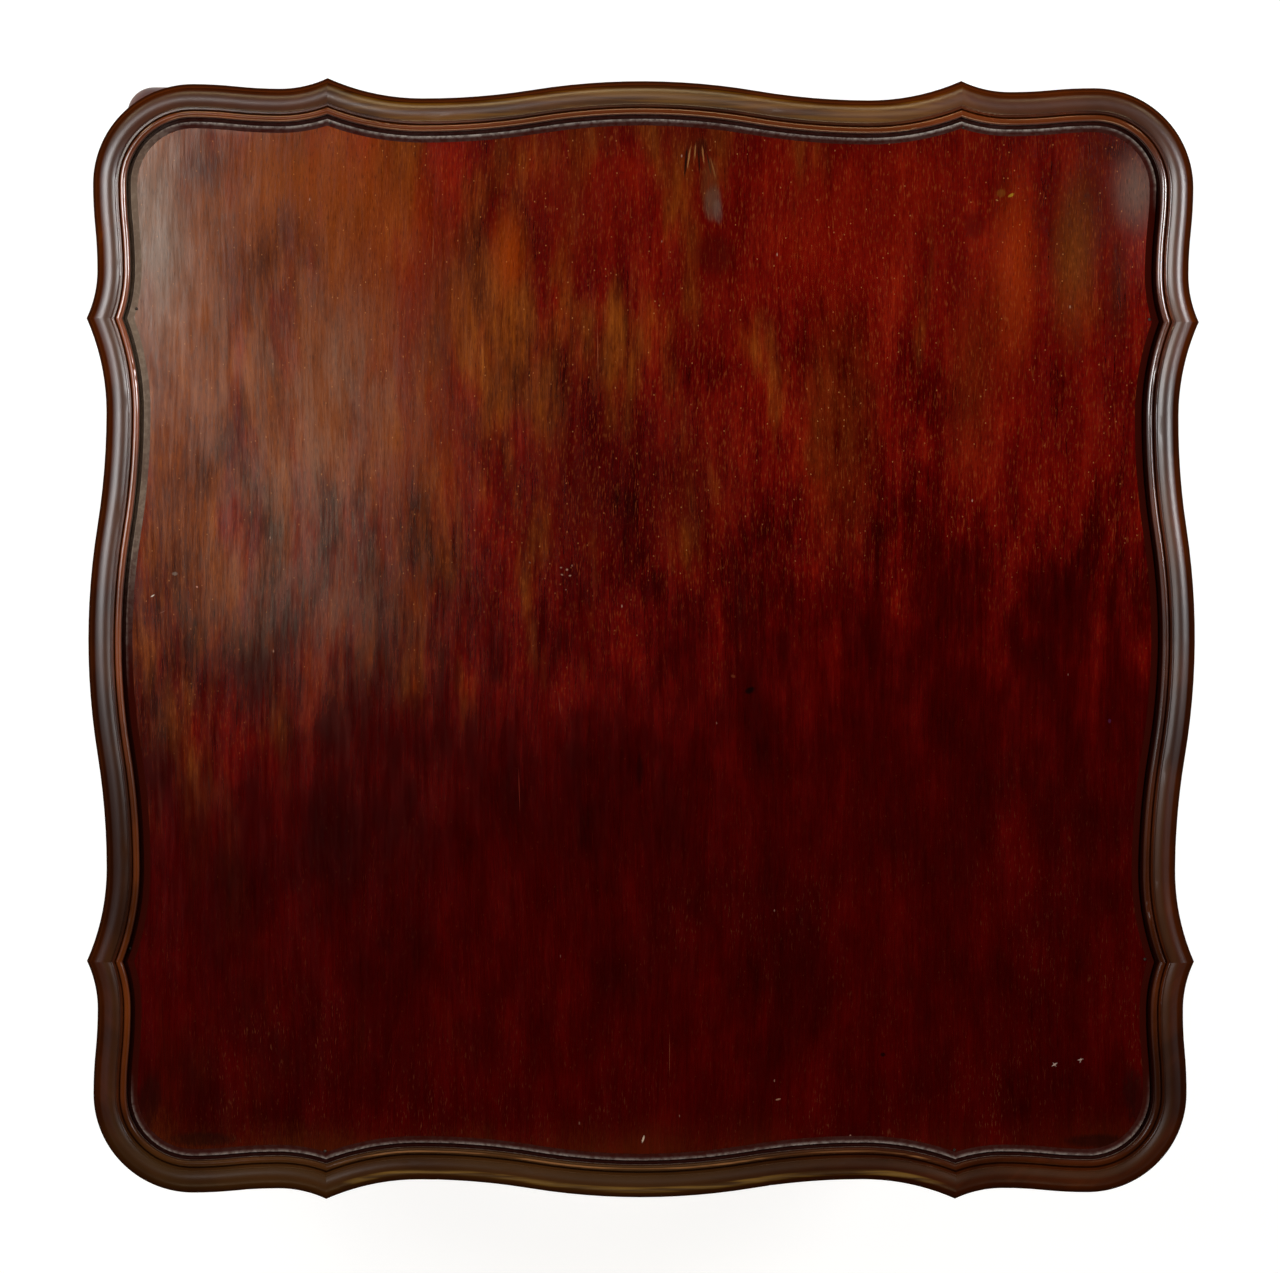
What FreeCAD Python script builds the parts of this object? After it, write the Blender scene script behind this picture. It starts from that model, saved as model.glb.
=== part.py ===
"""Games table: a square tray top with a cusped, moulded rim that lifts off a fitted backgammon well.

Millimetres, +Z up, origin on the floor under the middle of the table. The front faces -Y.
"""

import FreeCAD
import Part
import Sketcher
import math
import operator
import os

V = FreeCAD.Vector
UP = V(0, 0, 1)
DOC = FreeCAD.newDocument("games_table")
SHEET = DOC.addObject("Spreadsheet::Sheet", "Sizes")

# Driving dimensions: alias, value, what it is
SIZES = (
    ("table_height", 745, "floor to the crest of the rim"),
    ("top_width", 858, "across the cusps, left to right"),
    ("top_depth", 866, "across the cusps, front to back"),
    ("cusp_from_corner", 185, "cusp to the line of the next edge's cusps"),
    ("middle_set", 1.2, "middle of an edge inside the line of its cusps"),
    ("dip_set", 15.2, "hollow of an edge inside the line of its cusps"),
    ("dip_from_cusp", 72, "cusp to the hollow towards the middle"),
    ("corner_dip_set", 8.3, "hollow beside a corner inside the line of the cusps"),
    ("corner_dip_from_cusp", 37, "cusp to the hollow towards the corner"),
    ("crown_set", 5, "start of a corner's round inside the line of the cusps"),
    ("corner_radius", 77, "round of the top's corners"),
    ("cavetto_fillet", 1, "flat under the hollow below the rim"),
    ("cavetto_radius", 6, "hollow below the rim"),
    ("nose_fillet", 1.2, "flat over the hollow below the rim"),
    ("nose_set", 2, "step out from the hollow to the rim's side"),
    ("nose_radius", 6, "lower round of the rim's side"),
    ("side_flat", 4.3, "upright part of the rim's side"),
    ("crest_radius", 11.5, "upper round of the rim"),
    ("crest_run", 5.5, "fall of the upper round past its crest"),
    ("hollow_wide", 1.2, "small hollow inside the upper round"),
    ("ridge_wide", 1.4, "narrow ridge inside the small hollow"),
    ("ridge_drop", 3.1, "narrow ridge below the crest"),
    ("step_wide", 0.6, "slope of the steps beside the bead"),
    ("step_drop", 2.3, "ridge to the foot of the bead"),
    ("bead_wide", 5.3, "bead inside the ridge"),
    ("bead_rise", 1.5, "bead above its foot"),
    ("quirk_wide", 3, "dark groove between bead and cove"),
    ("quirk_deep", 2, "bottom of the groove below the panel's face"),
    ("cove_wide", 4.9, "cove that falls to the panel"),
    ("cove_rise", 1.6, "cove's lip above the panel"),
    ("tray_deep", 10, "crest of the rim above the panel"),
    ("tongue_long", 8, "tongue of the panel in the rim"),
    ("tongue_thick", 6, "tongue of the panel in the rim"),
    ("tongue_gap", 0.3, "tongue to the bottom of its groove"),
    ("baize_thick", 1.5, "card cloth under the top"),
    ("baize_border", 34, "bare wood between the frame's outer face and the cloth"),
    ("overhang_sides", 51, "line of the cusps outside the left and right aprons"),
    ("overhang_ends", 30, "line of the cusps outside the front and back aprons"),
    ("apron_thick", 22, "apron board"),
    ("apron_tall", 110, "apron board, clear of its shaped lower edge"),
    ("apron_cusp_drop", 18, "points of the apron's lower edge below its ends"),
    ("apron_arch_drop", 7, "middle of the apron's lower edge below its ends"),
    ("apron_flat", 7, "knee bracket to the first hollow of the lower edge"),
    ("apron_sweep", 85, "hollow outside each point of the lower edge"),
    ("tenon_thick", 10, "apron tenon"),
    ("tenon_long", 30, "apron tenon"),
    ("tenon_shoulder", 15, "tenon inside the apron's top and bottom"),
    ("reveal", 2, "leg post proud of the apron"),
    ("post_size", 60, "leg post, square"),
    ("post_round", 8, "outer corner of the leg post"),
    ("arris_round", 2.5, "other corners of the leg post and knee"),
    ("knee_drop", 60, "fullest part of the knee below the apron"),
    ("knee_swell", 26, "knee outside the post"),
    ("knee_width", 80, "knee, square"),
    ("knee_round", 20, "outer corner of the knee"),
    ("ankle_height", 88, "narrowest part of the leg above the floor"),
    ("ankle_set", 14, "ankle inside the line of the post"),
    ("ankle_width", 32, "ankle, square with rounded corners"),
    ("ankle_flat", 6, "flat of the ankle between its rounded corners"),
    ("instep_height", 30, "top of the foot above the floor"),
    ("instep_swell", 6, "top of the foot outside the post"),
    ("instep_width", 44, "top of the foot"),
    ("pad_height", 13, "fullest part of the foot above the floor"),
    ("pad_swell", 15, "foot outside the post"),
    ("pad_width", 58, "foot across"),
    ("sole_width", 48, "foot where it meets the glide"),
    ("glide_thick", 3, "glide under each foot"),
    ("glide_width", 32, "glide across"),
    ("bracket_long", 92, "knee bracket along the apron"),
    ("bracket_drop", 92, "knee bracket below the apron"),
    ("bracket_set", 3, "knee bracket behind the face of the knee"),
    ("bracket_tip", 7, "knee bracket at its thin end"),
    ("bracket_back", 12, "knee bracket behind the apron's face"),
    ("surround_thick", 15, "mitred surround on the aprons"),
    ("surround_lip", 4, "surround outside the leg posts"),
    ("well_deep", 38, "game well below the surround's top"),
    ("well_wall_thick", 10, "side of the game well"),
    ("post_gap", 2, "side of the game well to the leg posts"),
    ("well_floor_thick", 10, "board of the game well"),
    ("bar_width", 24, "bar across the game well"),
    ("bar_tall", 18, "bar across the game well"),
    ("point_margin", 5, "inlaid points to the sides of the well"),
    ("point_long", 250, "inlaid point"),
    ("point_gap", 1.5, "between inlaid points at their wide ends"),
    ("inlay_thick", 1.2, "inlaid points"),
    ("dust_board_thick", 8, "board under the drawers"),
    ("dust_board_up", 4, "board under the drawers above the apron's lower edge"),
    ("groove_deep", 6, "groove in the aprons for the dust board"),
    ("board_clearance", 0.4, "boards in their grooves and round the posts"),
    ("drawer_width", 300, "drawer front"),
    ("drawer_gap", 1, "round the drawer front"),
    ("drawer_nook", 14, "inner end of a drawer past the side of the next one"),
    ("drawer_rail", 40, "apron above the drawer opening"),
    ("drawer_front_thick", 18, "drawer front"),
    ("drawer_side_thick", 10, "drawer sides and back"),
    ("drawer_side_drop", 12, "drawer sides and back below the top of the opening"),
    ("drawer_play", 0.2, "drawer to the dust board and guides"),
    ("drawer_bottom_thick", 5, "drawer bottom"),
    ("drawer_bottom_up", 7, "drawer bottom above the sides' lower edges"),
    ("drawer_groove", 4, "groove for the drawer bottom"),
    ("cock_bead_wide", 3, "bead round the drawer front"),
    ("cock_bead_proud", 1.6, "bead round the drawer front"),
    ("guide_width", 12, "drawer guide"),
    ("guide_tall", 14, "drawer guide"),
    ("stop_long", 22, "drawer stop"),
    ("stop_thick", 8, "drawer stop"),
    ("cleat_size", 16, "cleat under the game board, square"),
    ("cleat_long", 150, "cleat under the game board"),
    ("block_leg", 120, "corner block along each apron"),
    ("block_clear", 8, "corner block above the dust board and below the cleats"),
    ("screw_width", 5, "corner screw shank"),
    ("screw_long", 62, "corner screw"),
    ("screw_head", 10, "corner screw head across"),
    ("pin_width", 8, "locating pin"),
    ("pin_set", 20, "locating pin inside the frame's outer face"),
    ("pin_proud", 7, "locating pin above the surround"),
    ("socket_wall", 1.4, "brass socket for a locating pin"),
    ("socket_room", 2, "brass socket past the end of its pin"),
    ("socket_play", 0.3, "locating pin in its socket, on the radius"),
    ("knob_width", 21, "drawer knob"),
    ("knob_long", 22, "drawer knob, proud of the drawer front"),
    ("knob_neck", 8, "drawer knob at its neck"),
    ("knob_base", 17, "drawer knob where it meets the drawer"),
    ("knob_stud", 5, "drawer knob's stud through the front"),
)


class Size:
    """A length that carries its number and the spreadsheet formula that gives it."""

    def __init__(self, number, formula=None):
        self.number = float(number)
        self.formula = formula or repr(self.number)

    def mixed(self, other, sign, work):
        other = other if isinstance(other, Size) else Size(other)
        return Size(work(self.number, other.number), f"({self.formula} {sign} {other.formula})")

    def __add__(self, other):
        return self.mixed(other, "+", operator.add)

    def __sub__(self, other):
        return self.mixed(other, "-", operator.sub)

    def __mul__(self, other):
        return self.mixed(other, "*", operator.mul)

    def __truediv__(self, other):
        return self.mixed(other, "/", operator.truediv)

    def __neg__(self):
        return self * -1


class Sizes:
    """The spreadsheet's values by alias, as Size objects."""

    def __getattr__(self, alias):
        return Size(SHEET.get(alias), f"Sizes.{alias}")


def fill_sheet():
    for row, (alias, value, words) in enumerate(SIZES, start=1):
        SHEET.set(f"A{row}", alias)
        SHEET.set(f"B{row}", str(value))
        SHEET.set(f"C{row}", words)
        SHEET.setAlias(f"B{row}", alias)
    DOC.recompute()


fill_sheet()
S = Sizes()
ZERO = Size(0)
PARTS = []

# Heights and plan sizes that several pieces share
crest_end = S.crest_radius + S.crest_run
ridge_start = crest_end + S.hollow_wide
bead_start = ridge_start + S.ridge_wide + S.step_wide
quirk_start = bead_start + S.bead_wide + S.step_wide
rim_width = quirk_start + S.quirk_wide + S.cove_wide
nose_top = S.cavetto_fillet + S.cavetto_radius + S.nose_fillet + S.nose_radius
rim_thick = nose_top + S.side_flat + S.crest_radius
panel_thick = rim_thick - S.tray_deep
rim_under = S.table_height - rim_thick
surround_under = rim_under - S.surround_thick
apron_under = surround_under - S.apron_tall
dust_under = apron_under + S.dust_board_up
drawer_floor = dust_under + S.dust_board_thick
board_top = rim_under - S.well_deep
board_under = board_top - S.well_floor_thick
opening_top = surround_under - S.drawer_rail
drawer_inner = S.drawer_width / 2 + S.drawer_nook
block_tall = board_under - S.cleat_size - drawer_floor - S.block_clear * 2
socket_deep = S.pin_proud + S.socket_room
frame_width = S.top_width - S.overhang_sides * 2
frame_depth = S.top_depth - S.overhang_ends * 2

# Each edge of the table: its name, its turn from the front, its run and how far it lies from the middle
EDGES = (
    ("front", 0, frame_width, frame_depth / 2),
    ("right", 90, frame_depth, frame_width / 2),
    ("back", 180, frame_width, frame_depth / 2),
    ("left", 270, frame_depth, frame_width / 2),
)
# Each corner: its name, and its turn from the back right corner
CORNERS = (("back_right", 0), ("back_left", 90), ("front_left", 180), ("front_right", 270))


# Document helpers


def bind(item, **sizes):
    """Binds properties of a document object to sheet formulas, or sets plain values."""
    for name, value in sizes.items():
        if isinstance(value, Size):
            setattr(item, name, value.number)
            item.setExpression(name, value.formula)
        else:
            setattr(item, name, value)
    return item


def place(item, x, y, z, turn=0):
    """Puts an object at a point of the front edge's frame, turned by quarter turns round the middle."""
    for quarter in range(turn // 90):
        x, y = -y, x
    item.Placement = FreeCAD.Placement(V(x.number, y.number, z.number), FreeCAD.Rotation(UP, turn))
    for axis, value in (("x", x), ("y", y), ("z", z)):
        item.setExpression(f"Placement.Base.{axis}", value.formula)
    return item


def box(x, y, z, length, width, height, turn=0):
    block = DOC.addObject("Part::Box", "Block")
    bind(block, Length=length, Width=width, Height=height)
    return place(block, x, y, z, turn)


def centred_box(x, y, z, length, width, height, turn=0):
    """A box whose middle in plan is at x, y."""
    return box(x - length / 2, y - width / 2, z, length, width, height, turn)


def rod(x, y, z, width, height, turn=0):
    pin = DOC.addObject("Part::Cylinder", "Rod")
    bind(pin, Radius=width / 2, Height=height)
    return place(pin, x, y, z, turn)


def cut(base, *tools):
    item = DOC.addObject("Part::Cut", "Cut")
    item.Base = base
    item.Tool = tools[0] if len(tools) == 1 else fuse(*tools)
    return item


def fuse(*shapes):
    item = DOC.addObject("Part::MultiFuse", "Fuse")
    item.Shapes = list(shapes)
    return item


def group(items):
    """Separate solids that share one node."""
    item = DOC.addObject("Part::Compound", "Group")
    item.Links = list(items)
    return item


def part(label, item):
    """Names an object as one sub-part of the table."""
    item.Label = label
    PARTS.append(item)
    return item


def body(name):
    return DOC.addObject("PartDesign::Body", name)


def profile(owner, name, plane, corners, offset=None):
    """A closed sketch. Each corner is (u, v) for a line to it, or (u, v, via_u, via_v) for an arc to it."""
    sketch = owner.newObject("Sketcher::SketchObject", name)
    origin = next(f for f in owner.Origin.OriginFeatures if f.Role == plane)
    sketch.AttachmentSupport = [(origin, "")]
    sketch.MapMode = "FlatFace"
    if offset is not None:
        sketch.AttachmentOffset = FreeCAD.Placement(V(0, 0, offset.number), FreeCAD.Rotation())
        sketch.setExpression("AttachmentOffset.Base.z", offset.formula)
    ends = [V(c[0].number, c[1].number, 0) for c in corners]
    for index, corner in enumerate(corners):
        start = ends[index - 1]
        if len(corner) == 2:
            sketch.addGeometry(Part.LineSegment(start, ends[index]))
        else:
            via = V(corner[2].number, corner[3].number, 0)
            sketch.addGeometry(Part.Arc(start, via, ends[index]))
    for index, corner in enumerate(corners):
        tie_corner(sketch, index, corner, len(corners))
    return sketch


def tie_corner(sketch, index, corner, count):
    """Holds the end of one sketch edge, and the point an arc passes through, at their sheet formulas."""
    following = (index + 1) % count
    flipped = {i: sketch.Geometry[i].Axis.z < 0 for i in (index, following) if is_arc(sketch, i)}
    end = 1 if flipped.get(index) else 2
    start = 2 if flipped.get(following) else 1
    sketch.addConstraint(Sketcher.Constraint("Coincident", index, end, following, start))
    hold(sketch, index, end, corner[0], corner[1])
    if len(corner) == 4:
        point = sketch.addGeometry(Part.Point(V(corner[2].number, corner[3].number, 0)), True)
        hold(sketch, point, 1, corner[2], corner[3])
        sketch.addConstraint(Sketcher.Constraint("PointOnObject", point, 1, index))


def is_arc(sketch, index):
    return isinstance(sketch.Geometry[index], Part.ArcOfCircle)


def hold(sketch, index, end, u, v):
    for kind, value in (("DistanceX", u), ("DistanceY", v)):
        rule = sketch.addConstraint(Sketcher.Constraint(kind, -1, 1, index, end, value.number))
        sketch.setExpression(f"Constraints[{rule}]", value.formula)


def rectangle(u0, v0, u1, v1):
    return [(u1, v0), (u1, v1), (u0, v1), (u0, v0)]


def pad(owner, sketch, length, **settings):
    return bind(owner.newObject("PartDesign::Pad", "Pad"), Profile=sketch, Length=length, **settings)


def pocket(owner, sketch, length, **settings):
    return bind(owner.newObject("PartDesign::Pocket", "Pocket"), Profile=sketch, Length=length, **settings)


# Outline of the top: tangent arcs between pointed cusps


class Arc:
    """One arc of the outline in plan. A hollow arc has its centre outside the table."""

    def __init__(self, centre, radius, start, end, hollow):
        self.centre, self.radius, self.hollow = centre, radius, hollow
        self.start, self.end = start, end

    def point(self, angle, inset):
        reach = self.radius + inset if self.hollow else self.radius - inset
        return self.centre + V(math.cos(angle), math.sin(angle), 0) * reach

    def edge(self, inset, start, end):
        middle = self.point((start + end) / 2, inset)
        return Part.Arc(self.point(start, inset), middle, self.point(end, inset)).toShape()

    def turned(self, degrees):
        spin = math.radians(degrees)
        centre = FreeCAD.Rotation(UP, degrees).multVec(self.centre)
        return Arc(centre, self.radius, self.start + spin, self.end + spin, self.hollow)


def arc_from(centre, radius, first, last, hollow):
    angles = [math.atan2(p.y - centre.y, p.x - centre.x) for p in (first, last)]
    while angles[1] - angles[0] > math.pi:
        angles[1] -= 2 * math.pi
    while angles[0] - angles[1] > math.pi:
        angles[1] += 2 * math.pi
    return Arc(centre, radius, angles[0], angles[1], hollow)


def s_curve(hollow_point, crest_point):
    """A hollow arc and a crest arc of one radius, from the hollow to the crest, level at both points."""
    run, rise = crest_point.x - hollow_point.x, crest_point.y - hollow_point.y
    radius = (run * run + rise * rise) / (4 * rise)
    bend = (hollow_point + crest_point) * 0.5
    hollow = arc_from(hollow_point + V(0, radius, 0), radius, hollow_point, bend, True)
    crest = arc_from(crest_point - V(0, radius, 0), radius, bend, crest_point, False)
    return hollow, crest


def cusp_arc(cusp, hollow_point):
    """The hollow arc that is level at the hollow and rises to the cusp."""
    run, rise = cusp.x - hollow_point.x, cusp.y - hollow_point.y
    radius = (run * run + rise * rise) / (2 * rise)
    return arc_from(hollow_point + V(0, radius, 0), radius, cusp, hollow_point, True)


def backwards(arc):
    return Arc(arc.centre, arc.radius, arc.end, arc.start, arc.hollow)


def mirrored(arc):
    """The arc on the other side of the edge's middle."""
    centre = V(-arc.centre.x, arc.centre.y, 0)
    return Arc(centre, arc.radius, math.pi - arc.start, math.pi - arc.end, arc.hollow)


def edge_arcs(spacing, reach):
    """Arcs of one edge in its own frame, outward along +Y, from its right cusp to its middle."""
    cusp = V(spacing / 2, reach, 0)
    hollow = V(cusp.x - S.dip_from_cusp.number, reach - S.dip_set.number, 0)
    middle = V(0, reach - S.middle_set.number, 0)
    lower, upper = s_curve(hollow, middle)
    return [cusp_arc(cusp, hollow), lower, upper]


def shoulder_arcs(spacing, reach, side_reach):
    """Arcs from an edge's right cusp to the start of the corner's round, in the edge's own frame."""
    cusp = V(spacing / 2, reach, 0)
    hollow = V(cusp.x + S.corner_dip_from_cusp.number, reach - S.corner_dip_set.number, 0)
    round_start = side_reach - S.crown_set.number - S.corner_radius.number
    crown = V(round_start, reach - S.crown_set.number, 0)
    lower, upper = s_curve(hollow, crown)
    return [cusp_arc(cusp, hollow), lower, upper]


def outline_stretches():
    """The arcs of the eight stretches between cusps, edges and corners in turn, clockwise from the back."""
    half_w, half_d = S.top_width.number / 2, S.top_depth.number / 2
    across, along = ((half - S.cusp_from_corner.number) * 2 for half in (half_w, half_d))
    plan = ((across, half_d, half_w), (along, half_w, half_d)) * 2
    stretches = []
    for index, (spacing, reach, side_reach) in enumerate(plan):
        turn = -90 * index
        right = edge_arcs(spacing, reach)
        left = [mirrored(a) for a in right]
        edge = left + [backwards(a) for a in reversed(right)]
        stretches.append([a.turned(turn) for a in edge])
        next_spacing = plan[(index + 1) % 4][0]
        near = shoulder_arcs(spacing, reach, side_reach)
        far = [mirrored(a).turned(-90) for a in shoulder_arcs(next_spacing, side_reach, reach)]
        radius = S.corner_radius.number
        inset = S.crown_set.number + radius
        centre = V(side_reach - inset, reach - inset, 0)
        corner = Arc(centre, radius, math.pi / 2, 0, False)
        stretch = near + [corner] + [backwards(a) for a in reversed(far)]
        stretches.append([a.turned(turn) for a in stretch])
    return stretches


STRETCHES = outline_stretches()
STRETCH_NAMES = ("back", "corner_back_right", "right", "corner_front_right",
                 "front", "corner_front_left", "left", "corner_back_left")


def cusp_point(index, inset):
    """Where the outline, drawn in by the inset, comes to the cusp at the start of a stretch."""
    first, second = STRETCHES[index - 1][-1], STRETCHES[index][0]
    span = second.centre - first.centre
    apart = span.Length
    ra, rb = first.radius + inset, second.radius + inset
    along = (apart * apart + ra * ra - rb * rb) / (2 * apart)
    across = math.sqrt(ra * ra - along * along)
    foot = first.centre + span * (along / apart)
    side = V(-span.y, span.x, 0) * (across / apart)
    return min(foot + side, foot - side, key=lambda p: p.Length)


def angle_near(arc, point, near):
    angle = math.atan2(point.y - arc.centre.y, point.x - arc.centre.x)
    return angle + 2 * math.pi * round((near - angle) / (2 * math.pi))


def outline_wire(inset, height):
    """The whole outline drawn in by the inset, as one closed wire at a height."""
    edges = []
    for index, stretch in enumerate(STRETCHES):
        for place_in, arc in enumerate(stretch):
            start, end = arc.start, arc.end
            if place_in == 0:
                start = angle_near(arc, cusp_point(index, inset), arc.start)
            if place_in == len(stretch) - 1:
                end = angle_near(arc, cusp_point((index + 1) % 8, inset), arc.end)
            edges.append(arc.edge(inset, start, end))
    wire = Part.Wire(edges)
    wire.translate(V(0, 0, height))
    return wire


def outline_slab(inset, low, high):
    return Part.Face(outline_wire(inset, low)).extrude(V(0, 0, high - low))


# Rim of the top: eight mouldings, mitred at the cusps


def rim_section():
    """The moulding's section, from the panel's underside round to the panel's edge.

    Each corner is the distance in from the outer edge and the height above the underside.
    A pair of points is an arc through the first to the second.
    """
    quarter = 1 - math.sqrt(0.5)
    deep, tall, face = rim_width.number, rim_thick.number, panel_thick.number
    groove_low = (face - S.tongue_thick.number) / 2
    groove_high = groove_low + S.tongue_thick.number
    groove_in = deep - S.tongue_long.number
    hollow, nose, crest = S.cavetto_radius.number, S.nose_radius.number, S.crest_radius.number
    nose_in = nose + S.nose_set.number
    nose_low = nose_top.number - nose
    hollow_low = S.cavetto_fillet.number
    hollow_top = hollow_low + hollow
    hollow_via = hollow * math.sqrt(0.5)
    crest_low = tall - crest + math.sqrt(crest ** 2 - S.crest_run.number ** 2)
    ridge_in, ridge = ridge_start.number, tall - S.ridge_drop.number
    ridge_end = ridge_in + S.ridge_wide.number
    bead_in, bead_out = bead_start.number, bead_start.number + S.bead_wide.number
    bead_foot = ridge - S.step_drop.number
    quirk_in, quirk = quirk_start.number, face - S.quirk_deep.number
    quirk_out = quirk_in + S.quirk_wide.number
    lip, cove, dish = S.cove_rise.number, S.cove_wide.number, S.hollow_wide.number
    return [
        V(deep, 0), V(nose_in + hollow, 0), V(nose_in + hollow, hollow_low),
        (V(nose_in + hollow_via, hollow_low + hollow_via), V(nose_in, hollow_top)),
        V(nose_in, nose_low), V(nose, nose_low),
        (V(nose * quarter, nose_low + nose * quarter), V(0, nose_low + nose)),
        V(0, tall - crest),
        (V(crest * quarter, tall - crest * quarter), V(crest_end.number, crest_low)),
        (V(crest_end.number + dish * 0.3, ridge + (crest_low - ridge) * 0.3), V(ridge_in, ridge)),
        V(ridge_end, ridge), V(bead_in, bead_foot),
        (V((bead_in + bead_out) / 2, bead_foot + S.bead_rise.number), V(bead_out, bead_foot)),
        V(quirk_in, quirk), V(quirk_out, quirk), V(quirk_out, face + lip),
        (V(deep - cove / 2, face + lip / 4), V(deep, face)),
        V(deep, groove_high), V(groove_in, groove_high), V(groove_in, groove_low), V(deep, groove_low),
    ]


def section_face(arc, angle, base):
    """The rim's section stood on an arc of the outline at an angle round its centre."""
    def stand(point):
        spot = arc.point(angle, point.x)
        return V(spot.x, spot.y, base + point.y)

    lines = rim_section()
    ends = [stand(item[1] if isinstance(item, tuple) else item) for item in lines]
    edges = []
    for index, item in enumerate(lines):
        start, end = ends[index - 1], ends[index]
        if isinstance(item, tuple):
            edges.append(Part.Arc(start, stand(item[0]), end).toShape())
        else:
            edges.append(Part.LineSegment(start, end).toShape())
    return Part.Face(Part.Wire(edges))


def mitre_sector(index, base):
    """A prism between the mitre planes at the two ends of a stretch."""
    reach = rim_width.number
    outer = [cusp_point(i % 8, 0) for i in (index, index + 1)]
    inner = [cusp_point(i % 8, reach) for i in (index, index + 1)]
    away = [o + (o - i) for o, i in zip(outer, inner)]
    far = [away[0], away[1]]
    if STRETCH_NAMES[index].startswith("corner"):
        signs = [math.copysign(1, c) for c in ((away[0] + away[1]) * 0.5)[:2]]
        far.insert(1, V(signs[0] * S.top_width.number, signs[1] * S.top_depth.number, 0))
    near = [i + (i - o) for o, i in zip(outer, inner)]
    corners = far + [near[1], near[0]]
    wire = Part.makePolygon([c + UP * (base - 1) for c in corners + corners[:1]])
    return Part.Face(wire).extrude(UP * (rim_thick.number + 2))


def rim_moulding(index):
    """One stretch of rim: the section turned along each arc, closed at both ends and mitred."""
    base = rim_under.number
    arcs = STRETCHES[index]
    faces = [section_face(arcs[0], arcs[0].start, base), section_face(arcs[-1], arcs[-1].end, base)]
    for arc in arcs:
        outline = section_face(arc, arc.start, base).OuterWire
        faces += outline.revolve(arc.centre, UP, math.degrees(arc.end - arc.start)).Faces
    shell = Part.Shell(faces)
    shell.sewShape()
    return Part.Solid(shell).common(mitre_sector(index, base)).Solids[0]


def feature(shape):
    """A document object for a shape worked out from the sheet's values."""
    item = DOC.addObject("Part::Feature", "Shape")
    item.Shape = shape
    return item


def make_top():
    for index, name in enumerate(STRETCH_NAMES):
        part(f"rim_{name}", feature(rim_moulding(index)))
    low = rim_under.number
    tongue_low = low + (panel_thick.number - S.tongue_thick.number) / 2
    inset = rim_width.number
    field = outline_slab(inset, low, low + panel_thick.number)
    tongue_in = inset - S.tongue_long.number + S.tongue_gap.number
    tongue = outline_slab(tongue_in, tongue_low, tongue_low + S.tongue_thick.number)
    cloth_width = frame_width - S.baize_border * 2
    cloth_depth = frame_depth - S.baize_border * 2
    cloth = centred_box(ZERO, ZERO, rim_under, cloth_width, cloth_depth, S.baize_thick)
    bore = S.pin_width + S.socket_play * 2
    sockets, holes = [], []
    for name, turn, run, reach in EDGES:
        spot = S.pin_set - reach
        hole = rod(ZERO, spot, rim_under, bore + S.socket_wall * 2, socket_deep, turn)
        holes.append(hole)
        sockets.append(cut(hole, rod(ZERO, spot, rim_under, bore, socket_deep, turn)))
    part("top_panel", cut(feature(field.fuse(tongue)), cloth, *holes))
    part("baize_lining", cloth)
    part("pin_sockets", group(sockets))


# Legs: cabriole, cut square and rounded, with a post that takes the apron tenons


def leg_section(owner, name, height, swell, width, outer, other):
    """A square in plan, its outer corner at the swell outside the post, with rounded corners."""
    high, low = swell, swell - width
    slack = 1 - math.sqrt(0.5)
    corners = [
        (high - other, low), (high, low + other, high - other * slack, low + other * slack),
        (high, high - outer), (high - outer, high, high - outer * slack, high - outer * slack),
        (low + other, high), (low, high - other, low + other * slack, high - other * slack),
        (low, low + other), (low + other, low, low + other * slack, low + other * slack),
    ]
    return profile(owner, name, "XY_Plane", corners, height)


def leg_stations():
    """Height, swell, width and the two roundings of each section, from the glide to the post."""
    knee_height = apron_under - S.knee_drop
    ankle_swell = -S.ankle_set
    ankle_round = (S.ankle_width - S.ankle_flat) / 2
    stations = [
        (S.glide_thick, S.pad_swell - (S.pad_width - S.sole_width) / 2, S.sole_width,
         S.sole_width * 0.48, S.sole_width * 0.48),
        (S.pad_height, S.pad_swell, S.pad_width, S.pad_width * 0.48, S.pad_width * 0.48),
        (S.instep_height, S.instep_swell, S.instep_width, S.instep_width * 0.45, S.instep_width * 0.45),
        (S.ankle_height, ankle_swell, S.ankle_width, ankle_round, ankle_round),
    ]
    calf_run = knee_height - S.ankle_height
    for share in (0.25, 0.5, 0.75):
        ease = share ** 2 * (3 - 2 * share) * 0.55 + share ** 2 * 0.45
        stations.append((
            S.ankle_height + calf_run * share,
            ankle_swell + (S.knee_swell - ankle_swell) * ease,
            S.ankle_width + (S.knee_width - S.ankle_width) * (share * 0.45 + ease * 0.55),
            ankle_round + (S.knee_round - ankle_round) * share,
            ankle_round + (S.arris_round - ankle_round) * share,
        ))
    stations.append((knee_height, S.knee_swell, S.knee_width, S.knee_round, S.arris_round))
    for share in (0.4, 0.75):
        ease = share ** 2 * (3 - 2 * share)
        stations.append((
            knee_height + S.knee_drop * share,
            S.knee_swell - S.knee_swell * ease,
            S.knee_width + (S.post_size - S.knee_width) * ease,
            S.knee_round + (S.post_round - S.knee_round) * ease,
            S.arris_round,
        ))
    stations.append((apron_under, ZERO, S.post_size, S.post_round, S.arris_round))
    return stations


def leg_blank():
    """The shaped leg before its mortises, with the post's outer corner at the origin in plan."""
    leg = body("Leg")
    sections = [leg_section(leg, "Section", *station) for station in leg_stations()]
    loft = leg.newObject("PartDesign::AdditiveLoft", "Shape")
    loft.Profile = sections[0]
    loft.Sections = sections[1:]
    post = leg_section(leg, "Post", *leg_stations()[-1])
    pad(leg, post, S.apron_tall)
    return leg


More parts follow.
